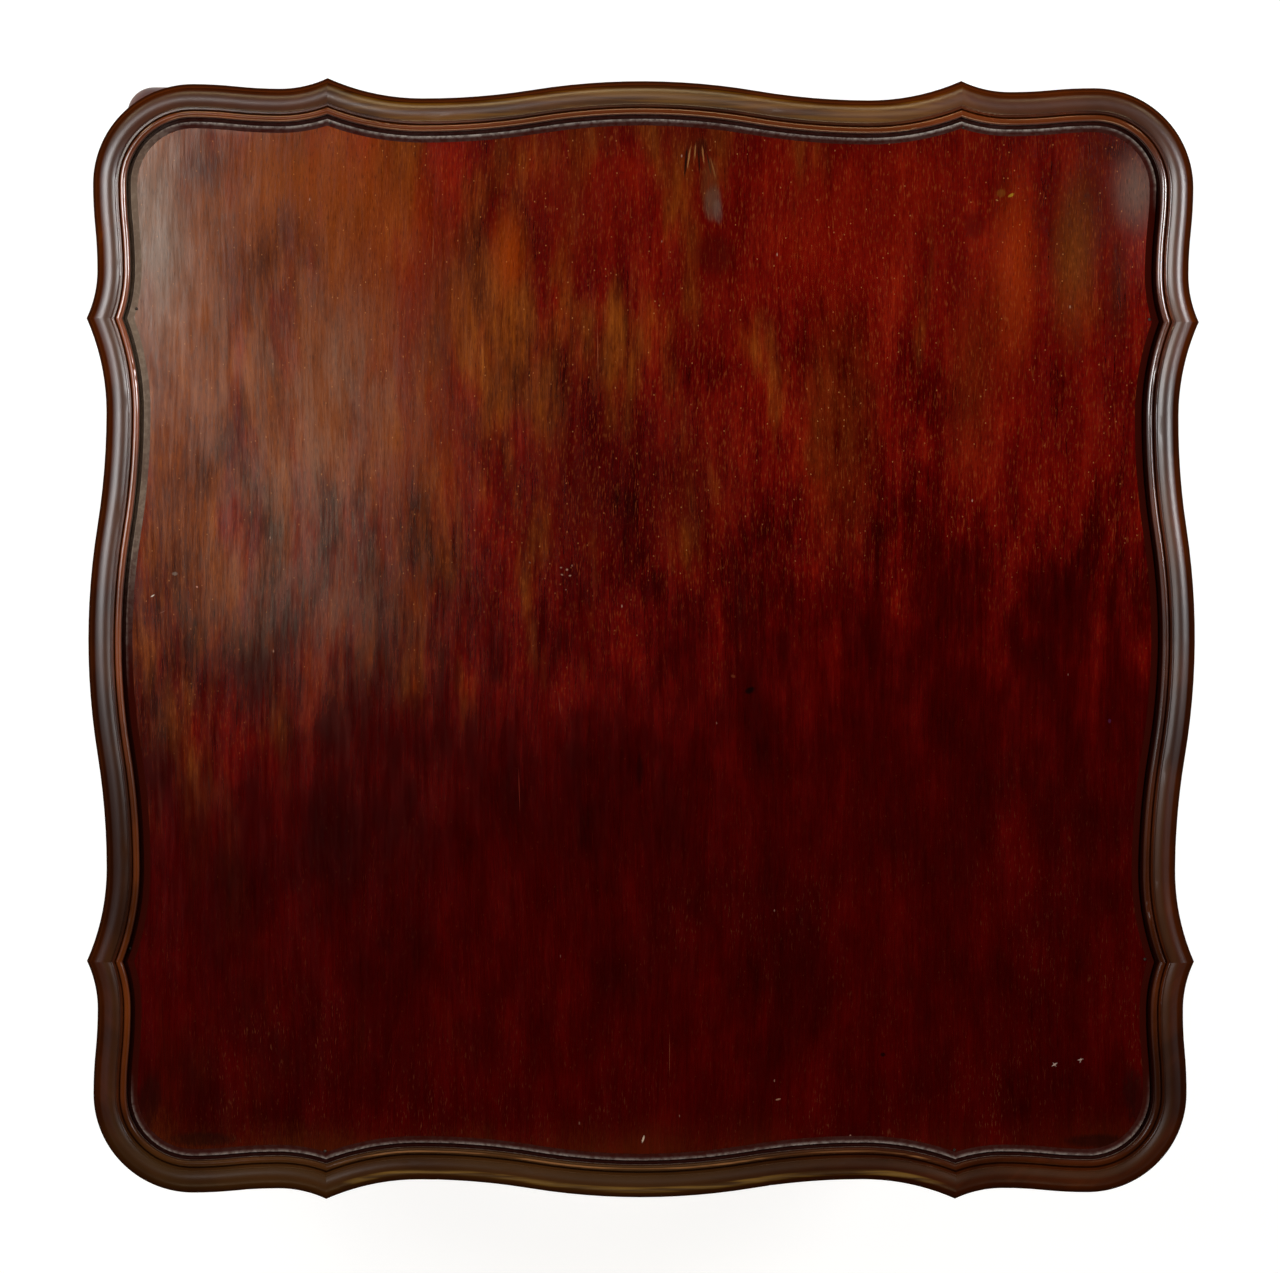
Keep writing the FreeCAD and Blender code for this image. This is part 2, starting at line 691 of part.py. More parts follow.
def corner_frame(turn):
    """Half sizes of the frame along a corner's own two directions."""
    return (frame_width / 2, frame_depth / 2) if turn % 180 == 0 else (frame_depth / 2, frame_width / 2)


def corner_screw(turn):
    """A countersunk screw on a corner's diagonal, through the corner block into the leg post."""
    shank = DOC.addObject("Part::Cylinder", "Shank")
    bind(shank, Radius=S.screw_width / 2, Height=S.screw_long)
    head = DOC.addObject("Part::Cone", "Head")
    bind(head, Radius1=S.screw_head / 2, Radius2=S.screw_width / 2, Height=S.screw_head / 2)
    screw = fuse(shank, head)
    half_x, half_y = corner_frame(turn)
    back = S.apron_thick + S.block_leg / 2
    height = drawer_floor + S.block_clear + block_tall / 2
    place(screw, half_x - back, half_y - back, height, turn)
    screw.Placement.Rotation = FreeCAD.Rotation(UP, turn + 45) * FreeCAD.Rotation(V(0, 1, 0), 90)
    return screw


def corner_block(turn, screw):
    """A three-cornered block glued into the angle of two aprons, notched round the leg post."""
    half_x, half_y = corner_frame(turn)
    leg = S.block_leg
    block = body("Block")
    sketch = profile(block, "Plan", "XY_Plane", [(-leg, ZERO), (ZERO, -leg), (ZERO, ZERO)])
    pad(block, sketch, block_tall)
    edge = S.apron_thick
    place(block, half_x - edge, half_y - edge, drawer_floor + S.block_clear, turn)
    notch_in = S.post_size - S.reveal - S.apron_thick + S.board_clearance
    notch = box(half_x - edge - notch_in, half_y - edge - notch_in, drawer_floor,
                notch_in, notch_in, S.apron_tall, turn)
    return cut(block, notch, screw)


def make_legs():
    screws, blocks, glides = [], [], []
    for name, turn in CORNERS:
        half_x, half_y = corner_frame(turn)
        corner_x, corner_y = half_x + S.reveal, half_y + S.reveal
        leg = place(leg_blank(), corner_x, corner_y, ZERO, turn)
        tall = S.apron_tall - S.tenon_shoulder * 2
        low = apron_under + S.tenon_shoulder
        face = S.apron_thick / 2 + S.tenon_thick / 2
        inside = S.post_size - S.reveal
        mortise_x = box(half_x - inside, half_y - face, low, S.tenon_long, S.tenon_thick, tall, turn)
        mortise_y = box(half_x - face, half_y - inside, low, S.tenon_thick, S.tenon_long, tall, turn)
        screw = corner_screw(turn)
        part(f"leg_{name}", cut(leg, mortise_x, mortise_y, screw))
        screws.append(screw)
        blocks.append(corner_block(turn, screw))
        sole = S.pad_swell - S.pad_width / 2
        glides.append(rod(corner_x + sole, corner_y + sole, ZERO, S.glide_width, S.glide_thick, turn))
    part("corner_blocks", group(blocks))
    part("corner_screws", group(screws))
    part("foot_glides", group(glides))


# Aprons and the brackets under their ends


def apron_outline(run):
    """Front elevation of an apron between the leg posts, with its cusped lower edge."""
    half = run / 2 + S.reveal - S.post_size
    near = half - S.bracket_long - S.apron_flat
    point, via = near - S.apron_sweep, near - S.apron_sweep * 0.65
    low = apron_under - S.apron_cusp_drop
    arch = apron_under - S.apron_arch_drop
    bow = apron_under - S.apron_cusp_drop * 0.2
    return [
        (near, apron_under, via, bow), (half, apron_under), (half, surround_under), (-half, surround_under),
        (-half, apron_under), (-near, apron_under), (-point, low, -via, bow), (point, low, ZERO, arch),
    ]


def make_apron(name, turn, run, reach):
    board = body("Apron")
    pad(board, profile(board, "Elevation", "XZ_Plane", apron_outline(run)), S.apron_thick, Reversed=True)
    half = S.drawer_width / 2 + S.drawer_gap
    opening = profile(board, "Opening", "XZ_Plane", rectangle(-half, drawer_floor, half, opening_top))
    DOC.recompute()
    pocket(board, opening, S.apron_thick)
    place(board, ZERO, -reach, ZERO, turn)
    end = run / 2 + S.reveal - S.post_size
    tall = S.apron_tall - S.tenon_shoulder * 2
    low = apron_under + S.tenon_shoulder
    face = -reach + S.apron_thick / 2 - S.tenon_thick / 2
    tenons = [
        box(start, face, low, S.tenon_long, S.tenon_thick, tall, turn)
        for start in (end, -end - S.tenon_long)
    ]
    inner = -reach + S.apron_thick - S.groove_deep
    groove = box(-end, inner, dust_under, end * 2, S.groove_deep, S.dust_board_thick, turn)
    part(f"apron_{name}", cut(fuse(board, *tenons), groove))


def bracket_blank(run, reach, hand):
    """A knee bracket at one end of an edge, sawn to its elevation, its plan and the knee's curve."""
    edge = run / 2 + S.reveal
    root = edge + S.knee_swell - S.knee_width * 0.9
    tip = edge - S.post_size - S.bracket_long
    low = apron_under - S.bracket_drop
    back = -reach + S.bracket_back
    bulge = S.knee_swell + S.reveal - S.bracket_set
    nose = -reach - bulge
    mid_u = tip + (root - tip) * 0.62
    mid_v = apron_under - S.bracket_tip - (S.bracket_drop - S.bracket_tip) * 0.3
    spans = (
        ("XZ_Plane", [(tip, apron_under), (root, apron_under), (root, low),
                      (tip, apron_under - S.bracket_tip, mid_u, mid_v)]),
        ("XY_Plane", [(tip, back), (root, back), (root, nose),
                      (tip, -reach, mid_u, -reach + (nose + reach) * 0.3)]),
    )
    shapes = []
    for plane, corners in spans:
        if hand < 0:
            corners = [tuple(-c if i % 2 == 0 else c for i, c in enumerate(corner)) for corner in corners]
        saw = body("Saw")
        sketch = profile(saw, "Outline", plane, corners)
        pad(saw, sketch, S.table_height * 2, Midplane=True)
        shapes.append(saw)
    knee_saw = body("Saw")
    heights = [apron_under - S.knee_drop * share for share in (0.25, 0.5, 0.75, 1)]
    swells = [-reach - bulge * share for share in (0.156, 0.5, 0.844, 1)]
    foot = heights[3] - S.bracket_drop
    curve = [(back, foot), (back, apron_under), (-reach, apron_under),
             (swells[1], heights[1], swells[0], heights[0]),
             (nose, heights[3], swells[2], heights[2]), (nose, foot)]
    pad(knee_saw, profile(knee_saw, "Outline", "YZ_Plane", curve), run * 2, Midplane=True)
    shapes.append(knee_saw)
    common = DOC.addObject("Part::MultiCommon", "Bracket")
    common.Shapes = shapes
    return common


def make_brackets():
    legs = {item.Label: item for item in PARTS if item.Label.startswith("leg_")}
    ends = {"front": ("front_left", "front_right"), "right": ("front_right", "back_right"),
            "back": ("back_right", "back_left"), "left": ("back_left", "front_left")}
    for name, turn, run, reach in EDGES:
        pair = []
        for hand, corner in zip((-1, 1), ends[name]):
            blank = bracket_blank(run, reach, hand)
            blank.Placement = FreeCAD.Placement(V(), FreeCAD.Rotation(UP, turn))
            pair.append(cut(blank, legs[f"leg_{corner}"]))
        part(f"knee_brackets_{name}", group(pair))


# Surround, game well and the boards inside the frame


def well_half(frame):
    """Half the inside of the game well along one direction, from the frame's size there."""
    return frame / 2 + S.reveal - S.post_size - S.post_gap - S.well_wall_thick


def make_surround(name, turn, run, reach):
    lip = S.reveal + S.surround_lip
    outer, outer_y = run / 2 + lip, -reach - lip
    inner, inner_y = well_half(run), -well_half(reach * 2)
    board = body("Surround")
    corners = [(-outer, outer_y), (outer, outer_y), (inner, inner_y), (-inner, inner_y)]
    pad(board, profile(board, "Plan", "XY_Plane", corners), S.surround_thick)
    place(board, ZERO, ZERO, surround_under, turn)
    spot = S.pin_set - reach
    hole = rod(ZERO, spot, surround_under, S.pin_width, S.surround_thick, turn)
    part(f"surround_{name}", cut(board, hole))
    return rod(ZERO, spot, surround_under, S.pin_width, S.surround_thick + S.pin_proud, turn)


def make_well_wall(name, turn, run, reach):
    """Sides of the well: the front and back ones run through, and the others stand between them."""
    through = turn % 180 == 0
    thick = S.well_wall_thick
    half = well_half(run) + thick if through else well_half(run)
    face = -well_half(reach * 2) - thick
    wall = box(-half, face, board_top, half * 2, thick, surround_under - board_top, turn)
    part(f"well_wall_{name}", wall)


def post_notches(low, tall):
    """Boxes that clear the leg posts out of a board's corners."""
    notches = []
    for name, turn in CORNERS:
        half_x, half_y = corner_frame(turn)
        size = S.post_size - S.reveal + S.board_clearance
        notches.append(box(half_x - size, half_y - size, low, size, size, tall, turn))
    return notches


def game_points():
    """Inlaid points of the board, as two lists that alternate: light and dark."""
    light, dark = [], []
    table_width = well_half(frame_width) - S.bar_width / 2 - S.point_margin * 2
    pitch = table_width / 6
    wide = pitch - S.point_gap
    low = board_top - S.inlay_thick
    base = -well_half(frame_depth)
    for end, turn in enumerate((0, 180)):
        for index in range(12):
            beyond_bar = 1 if index >= 6 else 0
            first = -well_half(frame_width) + S.point_margin
            skip = (S.bar_width + S.point_margin * 2) * beyond_bar
            left = first + pitch * index + skip + S.point_gap / 2
            point = DOC.addObject("Part::Wedge", "Point")
            bind(point, Xmin=ZERO, Xmax=wide, X2min=wide / 2, X2max=wide / 2, Ymin=ZERO,
                 Ymax=S.point_long, Zmin=ZERO, Zmax=S.inlay_thick, Z2min=ZERO, Z2max=S.inlay_thick)
            place(point, left, base, low, turn)
            (light if index % 2 == 0 else dark).append(point)
    return light, dark


def make_well():
    width = frame_width - (S.apron_thick + S.board_clearance) * 2
    depth = frame_depth - (S.apron_thick + S.board_clearance) * 2
    board = centred_box(ZERO, ZERO, board_under, width, depth, S.well_floor_thick)
    light, dark = game_points()
    tools = post_notches(board_under, S.well_floor_thick) + [group(light), group(dark)]
    part("well_floor", cut(board, *tools))
    part("points_light", group(light))
    part("points_dark", group(dark))
    bar_long = well_half(frame_depth) * 2
    part("well_bar", centred_box(ZERO, ZERO, board_top, S.bar_width, bar_long, S.bar_tall))


def make_dust_board():
    reach_in = S.groove_deep - S.board_clearance - S.apron_thick
    width, depth = frame_width + reach_in * 2, frame_depth + reach_in * 2
    board = centred_box(ZERO, ZERO, dust_under, width, depth, S.dust_board_thick)
    part("dust_board", cut(board, *post_notches(dust_under, S.dust_board_thick)))


def make_fittings():
    """Drawer guides and stops on the dust board, and cleats under the game board."""
    guides, stops, cleats = [], [], []
    for name, turn, run, reach in EDGES:
        inner = -reach + S.apron_thick
        side = S.drawer_width / 2 + S.drawer_play
        guide_long = reach - drawer_inner - S.apron_thick - S.stop_thick
        back = -drawer_inner + S.drawer_play
        for hand in (-1, 1):
            middle = (side + S.guide_width / 2) * hand
            guides.append(box(middle - S.guide_width / 2, inner, drawer_floor,
                              S.guide_width, guide_long, S.guide_tall, turn))
            stop_middle = (S.drawer_width / 2 - S.stop_long) * hand
            stops.append(box(stop_middle - S.stop_long / 2, back, drawer_floor,
                             S.stop_long, S.stop_thick, S.guide_tall, turn))
            cleat_middle = (run / 2 + S.reveal - S.post_size - S.cleat_long / 2) * hand
            cleats.append(box(cleat_middle - S.cleat_long / 2, inner, board_under - S.cleat_size,
                              S.cleat_long, S.cleat_size, S.cleat_size, turn))
    part("drawer_guides", group(guides))
    part("drawer_stops", group(stops))
    part("well_cleats", group(cleats))


# Drawers


def make_drawer_front(name, turn, reach):
    half, thick = S.drawer_width / 2, S.drawer_front_thick
    low = drawer_floor + S.drawer_gap
    high = opening_top - S.drawer_gap
    front = body("DrawerFront")
    pad(front, profile(front, "Face", "XZ_Plane", rectangle(-half, low, half, high)), thick, Reversed=True)
    wide = S.cock_bead_wide
    bead = profile(front, "Bead", "XZ_Plane", rectangle(-half, low, half, high))
    DOC.recompute()
    pad(front, bead, S.cock_bead_proud)
    field = rectangle(-half + wide, low + wide, half - wide, high - wide)
    sunk = profile(front, "Field", "XZ_Plane", field, S.cock_bead_proud)
    DOC.recompute()
    pocket(front, sunk, S.cock_bead_proud)
    place(front, ZERO, -reach, ZERO, turn)
    inner = half - S.drawer_side_thick - S.drawer_play
    bottom = drawer_floor + S.drawer_play + S.drawer_bottom_up
    groove = box(-inner, -reach + thick - S.drawer_groove, bottom, inner * 2, S.drawer_groove,
                 S.drawer_bottom_thick, turn)
    stud_height = (low + high) / 2
    hole = DOC.addObject("Part::Cylinder", "Hole")
    bind(hole, Radius=S.knob_stud / 2, Height=thick)
    place(hole, ZERO, -reach + thick, stud_height, turn)
    hole.Placement.Rotation = FreeCAD.Rotation(UP, turn) * FreeCAD.Rotation(V(1, 0, 0), 90)
    part(f"drawer_front_{name}", cut(front, groove, hole))


def make_drawer_box(name, turn, reach):
    half = S.drawer_width / 2 - S.drawer_play
    thick = S.drawer_side_thick
    low = drawer_floor + S.drawer_play
    near = -reach + S.drawer_front_thick
    long = reach - drawer_inner - S.drawer_front_thick
    bottom = low + S.drawer_bottom_up
    inner = half - thick
    tall = opening_top - S.drawer_side_drop - low
    slot_half = inner + S.drawer_groove
    slot = box(-slot_half, near, bottom, slot_half * 2, long - thick + S.drawer_groove,
               S.drawer_bottom_thick, turn)
    sides = [
        cut(box(x, near, low, thick, long, tall, turn), slot)
        for x in (-half, half - thick)
    ]
    back = cut(box(-inner, near + long - thick, low, inner * 2, thick, tall, turn), slot)
    part(f"drawer_box_{name}", group(sides + [back]))
    panel_near = near - S.drawer_groove
    panel_long = long - thick + S.drawer_groove * 2
    side_flap = slot_half * 2
    panel = box(-inner, panel_near, bottom, inner * 2, panel_long, S.drawer_bottom_thick, turn)
    wings = box(-slot_half, near, bottom, side_flap, panel_long - S.drawer_groove,
                S.drawer_bottom_thick, turn)
    part(f"drawer_bottom_{name}", fuse(panel, wings))


def make_knob(name, turn, reach):
    """A turned knob: base, neck and rounded head, with a stud through the drawer front."""
    long, base, neck = S.knob_long, S.knob_base / 2, S.knob_neck / 2
    head, stud = S.knob_width / 2, S.knob_stud / 2
    back = -S.drawer_front_thick
    knob = body("Knob")
    turning = [
        (stud, back), (stud, ZERO), (base, ZERO), (base, long * 0.08),
        (neck, long * 0.4, neck + (base - neck) * 0.3, long * 0.18),
        (head, long * 0.7, neck + (head - neck) * 0.72, long * 0.5),
        (head * 0.25, long, head * 0.76, long * 0.91), (ZERO, long), (ZERO, back),
    ]
    sketch = profile(knob, "Half", "XY_Plane", turning)
    spin = knob.newObject("PartDesign::Revolution", "Turn")
    spin.Profile = sketch
    spin.ReferenceAxis = (sketch, ["V_Axis"])
    spin.Angle = 360
    height = (drawer_floor + opening_top) / 2
    place(knob, ZERO, -reach, height, turn)
    knob.Placement.Rotation = FreeCAD.Rotation(UP, turn + 180)
    part(f"knob_{name}", knob)


def make_table():
    make_top()
    make_legs()
    make_brackets()
    make_well()
    make_dust_board()
    make_fittings()
    pins = []
    for name, turn, run, reach in EDGES:
        make_apron(name, turn, run, reach)
        pins.append(make_surround(name, turn, run, reach))
        make_well_wall(name, turn, run, reach)
        make_drawer_front(name, turn, reach)
        make_drawer_box(name, turn, reach)
        make_knob(name, turn, reach)
    part("locating_pins", group(pins))
    DOC.recompute()


def check_and_write():
    """Stops at any failed object or bad shape, then writes one STEP file per sub-part."""
    for item in DOC.Objects:
        if {"Invalid", "Error"} & set(item.State):
            raise RuntimeError(f"{item.Name} ({item.Label}) failed: {item.State}")
    os.makedirs("parts", exist_ok=True)
    for item in PARTS:
        if item.Shape.isNull() or not item.Shape.isValid() or not item.Shape.Solids:
            raise RuntimeError(f"{item.Label} has no sound solid")
    for item in PARTS:
        item.Shape.exportStep(os.path.join("parts", f"{item.Label}.step"))
    print(f"{len(PARTS)} sub-parts written")


make_table()
check_and_write()
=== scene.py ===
"""Looks of the games table: worn polished mahogany, aged brass, inlay and card cloth, seen from above."""

import bmesh
import bpy
import math
import random
from mathutils import Matrix, Vector
from types import SimpleNamespace


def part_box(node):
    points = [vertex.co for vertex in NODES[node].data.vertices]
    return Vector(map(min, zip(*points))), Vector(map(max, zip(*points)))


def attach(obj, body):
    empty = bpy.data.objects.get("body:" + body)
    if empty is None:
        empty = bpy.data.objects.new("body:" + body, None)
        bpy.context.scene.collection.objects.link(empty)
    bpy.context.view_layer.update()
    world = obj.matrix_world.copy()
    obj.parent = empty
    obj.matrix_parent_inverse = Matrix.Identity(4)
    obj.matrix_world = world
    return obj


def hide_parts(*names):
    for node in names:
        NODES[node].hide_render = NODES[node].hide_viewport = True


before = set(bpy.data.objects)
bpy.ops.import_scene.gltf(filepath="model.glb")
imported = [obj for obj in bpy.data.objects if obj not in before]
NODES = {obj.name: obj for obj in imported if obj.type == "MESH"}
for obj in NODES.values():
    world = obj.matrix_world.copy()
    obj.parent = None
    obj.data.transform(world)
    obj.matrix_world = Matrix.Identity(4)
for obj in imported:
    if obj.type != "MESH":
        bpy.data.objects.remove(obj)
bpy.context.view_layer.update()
EDGES = ("front", "right", "back", "left")

# The photograph's scale: metres to the pixel, and the pixel at the middle of the table
PIXEL = 0.000775
MIDDLE_PIXEL = (643.0, 641.5)
PHOTO_SIZE = (1280, 1273)
PANEL_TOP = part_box("top_panel")[1].z


def at(column, row):
    """The table's place in plan for a pixel of the photograph."""
    return (column - MIDDLE_PIXEL[0]) * PIXEL, (MIDDLE_PIXEL[1] - row) * PIXEL


def seen(red, green, blue):
    """A colour as a screen shows it, 0 to 255, as the linear colour that shaders use."""
    parts = []
    for value in (red, green, blue):
        share = value / 255
        parts.append(share / 12.92 if share <= 0.04045 else ((share + 0.055) / 1.055) ** 2.4)
    return (*parts, 1.0)


# Node trees


class Graph:
    """A node tree that is built with one call for each node. Inputs are sockets or plain values."""

    def __init__(self, tree):
        self.tree = tree
        tree.nodes.clear()

    def add(self, kind, inputs, **settings):
        item = self.tree.nodes.new(kind)
        for name, value in settings.items():
            setattr(item, name, value)
        for socket, value in inputs.items():
            if isinstance(value, bpy.types.NodeSocket):
                self.tree.links.new(value, item.inputs[socket])
            else:
                item.inputs[socket].default_value = value
        return item

    def spot(self):
        """The place on the object at rest, in metres."""
        return self.add("ShaderNodeTexCoord", {}).outputs["Object"]

    def split(self, vector):
        return self.add("ShaderNodeSeparateXYZ", {"Vector": vector}).outputs

    def joined(self, x, y, z):
        return self.add("ShaderNodeCombineXYZ", {"X": x, "Y": y, "Z": z}).outputs["Vector"]

    def grid(self, vector, size, turn=0.0, start=(0, 0, 0)):
        """The vector measured in steps of the given size, in metres, from a start and turned in plan."""
        inputs = {"Vector": vector, "Location": start, "Rotation": (0, 0, turn), "Scale": size}
        return self.add("ShaderNodeMapping", inputs, vector_type="TEXTURE").outputs["Vector"]

    def noise(self, vector, detail=3.0, rough=0.5, distort=0.0):
        inputs = {"Vector": vector, "Scale": 1.0, "Detail": detail, "Roughness": rough, "Distortion": distort}
        return self.add("ShaderNodeTexNoise", inputs).outputs["Fac"]

    def cells(self, vector):
        """Distance to the nearest of scattered points, and a number that differs from point to point."""
        item = self.add("ShaderNodeTexVoronoi", {"Vector": vector, "Scale": 1.0})
        return item.outputs["Distance"], self.split(item.outputs["Color"])["X"]

    def math(self, operation, first, second=0.0):
        return self.add("ShaderNodeMath", {0: first, 1: second}, operation=operation).outputs[0]

    def sum(self, *values):
        total = values[0]
        for value in values[1:]:
            total = self.math("ADD", total, value)
        return total

    def product(self, *values):
        total = values[0]
        for value in values[1:]:
            total = self.math("MULTIPLY", total, value)
        return total

    def swing(self, value, amount):
        """A noise value as a swing about zero, up to about the amount each way."""
        return self.math("MULTIPLY", self.math("SUBTRACT", value, 0.5), amount * 2)

    def level(self, value, low, high, out_low=0.0, out_high=1.0):
        """A smooth step of the value from low to high."""
        inputs = {"Value": value, "From Min": low, "From Max": high, "To Min": out_low, "To Max": out_high}
        item = self.add("ShaderNodeMapRange", inputs, interpolation_type="SMOOTHSTEP")
        return item.outputs["Result"]

    def ramp(self, factor, stops):
        item = self.add("ShaderNodeValToRGB", {"Fac": factor})
        points = item.color_ramp.elements
        while len(points) < len(stops):
            points.new(0.5)
        for point, (place, colour) in zip(points, stops):
            point.position = place
            point.color = colour
        return item.outputs["Color"]

    def mix(self, factor, first, second):
        return self.add("ShaderNodeMix", {0: factor, 6: first, 7: second}, data_type="RGBA").outputs[2]

    def hollows(self, reach):
        """1 in the open, falling to 0 in corners and grooves narrower than the reach."""
        return self.add("ShaderNodeAmbientOcclusion", {"Distance": reach}, samples=8).outputs["AO"]

    def facing(self):
        """The way the surface looks, before any bump."""
        return self.add("ShaderNodeNewGeometry", {}).outputs["Normal"]

    def under(self):
        """1 on faces that look down, which are left bare, and 0 on the rest."""
        return self.level(self.split(self.facing())["Z"], -0.35, -0.80)

    def bump(self, height, depth):
        return self.add("ShaderNodeBump", {"Height": height, "Distance": depth}).outputs["Normal"]

    def oval(self, vector, middle, radii, turn=0.0):
        """1 at the middle of an oval in plan, falling smoothly to 0 at its edge."""
        flat = self.grid(vector, (*radii, 100.0), turn, (*middle, 0))
        far = self.add("ShaderNodeVectorMath", {0: flat}, operation="LENGTH").outputs["Value"]
        return self.level(far, 1.0, 0.0)

    def surface(self, **inputs):
        named = {name.replace("_", " "): value for name, value in inputs.items()}
        shader = self.add("ShaderNodeBsdfPrincipled", named)
        self.add("ShaderNodeOutputMaterial", {"Surface": shader.outputs["BSDF"]})


def new_material(name):
    material = bpy.data.materials.new(name)
    material.use_nodes = True
    return material, Graph(material.node_tree)


def along_axis(axis, along, across):
    """Feature sizes for grain that runs along one axis."""
    size = [across, across, across]
    size["XYZ".index(axis)] = along
    return tuple(size)


# Woods


def shades(*stops):
    """A ramp of colours as a screen shows them, each with its place from 0 to 1."""
    return tuple((place, seen(*colour)) for place, colour in stops)


# Colours of each wood, from dark figure to light
RIM_TONES = shades((0.0, (24, 7, 2)), (0.4, (48, 16, 3)), (0.7, (78, 30, 4)), (1.0, (120, 58, 9)))
FRAME_TONES = shades((0.0, (40, 8, 3)), (0.4, (78, 24, 8)), (0.7, (104, 42, 14)), (1.0, (134, 66, 26)))
BOARD_TONES = shades((0.0, (46, 26, 14)), (0.4, (82, 50, 28)), (0.7, (104, 68, 40)), (1.0, (130, 90, 56)))
BOX_TONES = shades((0.0, (176, 138, 84)), (0.5, (206, 170, 112)), (1.0, (222, 190, 138)))
EBONY_TONES = shades((0.0, (14, 10, 8)), (0.5, (28, 21, 17)), (1.0, (48, 36, 28)))
OAK_TONES = shades((0.0, (128, 92, 56)), (0.5, (164, 124, 80)), (1.0, (190, 152, 104)))

# The panel's own: red mahogany, where it has browned, and its bare underside
RED_TONES = shades((0.00, (30, 0, 0)), (0.20, (52, 0, 0)), (0.40, (74, 2, 1)),
                   (0.58, (94, 8, 2)), (0.76, (112, 18, 4)), (1.00, (136, 36, 8)))
BROWN_TONES = shades((0.00, (30, 10, 3)), (0.20, (54, 18, 4)), (0.40, (78, 30, 6)),
                     (0.58, (102, 44, 8)), (0.76, (124, 60, 12)), (1.00, (150, 84, 24)))
UNDERSIDE_TONES = shades((0.0, (70, 42, 24)), (1.0, (124, 84, 54)))


def wood_layers(g, spot, axis, tones, turn, pore_colour, figured=1.0):
    """Colour of grained wood with the noise layers behind it: figure, streaks, pores and blotches."""
    def layer(along, across, detail):
        return g.noise(g.grid(spot, along_axis(axis, along, across), turn), detail)

    figure = layer(0.26, 0.028, 4.0)
    streak = layer(0.11, 0.0042, 3.0)
    fibre = layer(0.016, 0.0008, 2.0)
    blotch = g.noise(g.grid(spot, (0.09, 0.09, 0.09)), 3.0)
    tone = g.sum(0.5, g.swing(figure, 0.70 * figured), g.swing(streak, 0.30 * figured), g.swing(blotch, 0.60))
    pores = g.level(fibre, 0.60, 0.74, 0.0, 0.4)
    colour = g.mix(pores, g.ramp(tone, tones), seen(*pore_colour))
    return colour, streak, pores, blotch


# Heights in metres that no part of the table reaches, for wood that is handled nowhere
NOWHERE = (9.0, 9.1)


def polished_wood(name, axis, tones, grime=(20, 4, 2), roughness=0.22, polish=0.35, handled_from=NOWHERE):
    """French-polished wood, darker in its hollows with grime and painted shade, dull with handling above a
    height.
    """
    material, g = new_material(name)
    spot = g.spot()
    colour, streak, pores, blotch = wood_layers(g, spot, axis, tones, 0.0, grime)
    # Darker in the hollows: grime, and painted shade where shade falls.
    open_share = g.level(g.hollows(0.006), 0.25, 0.85)
    colour = g.mix(open_share, seen(*grime), colour)
    handled = g.level(g.split(spot)["Z"], *handled_from)
    bare = g.under()
    dull = g.sum(g.level(open_share, 1.0, 0.0, 0.0, 0.25), g.product(handled, 0.22), g.product(bare, 0.40))
    rough = g.sum(roughness, g.swing(streak, 0.10), g.swing(blotch, 0.12), dull)
    height = g.sum(g.product(pores, -1.0), g.product(streak, 0.4))
    shine = g.product(g.level(handled, 0.0, 1.0, 0.4, 0.10), g.level(bare, 1.0, 0.0, 0.1, 1.0))
    coat = g.level(bare, 0.0, 1.0, polish, 0.0) if polish else 0.0
    g.surface(Base_Color=colour, Roughness=rough, Normal=g.bump(height, 0.00004),
              Specular_IOR_Level=shine, Coat_Weight=coat, Coat_Roughness=0.10)
    return material


def tints(**colours):
    """Named colours, given as a screen shows them."""
    return SimpleNamespace(**{name: seen(*colour) for name, colour in colours.items()})


# Colour of the rim's pores and of its darkened hollows: grime, and painted shade.
RIM_GRIME_AND_SHADE = (18, 6, 3)
# Tints of the rim, among them the colours of painted sheen, glints, highlights and shade.
RIM_TINTS = tints(
    olive=(74, 47, 18), rubbed_front=(70, 48, 20), rubbed_side=(80, 62, 44), rubbed_back=(82, 46, 16),
    gold=(116, 78, 20), brown=(66, 30, 8), bead=(142, 66, 16), outer_side=(54, 24, 11), dark_front=(22, 9, 3),
    lip=(128, 96, 42), bead_tip=(150, 104, 66), clean_cove=(44, 8, 4), dust=(160, 150, 144),
    left_dust=(134, 118, 104), groove=(30, 11, 6), grime=RIM_GRIME_AND_SHADE,
)


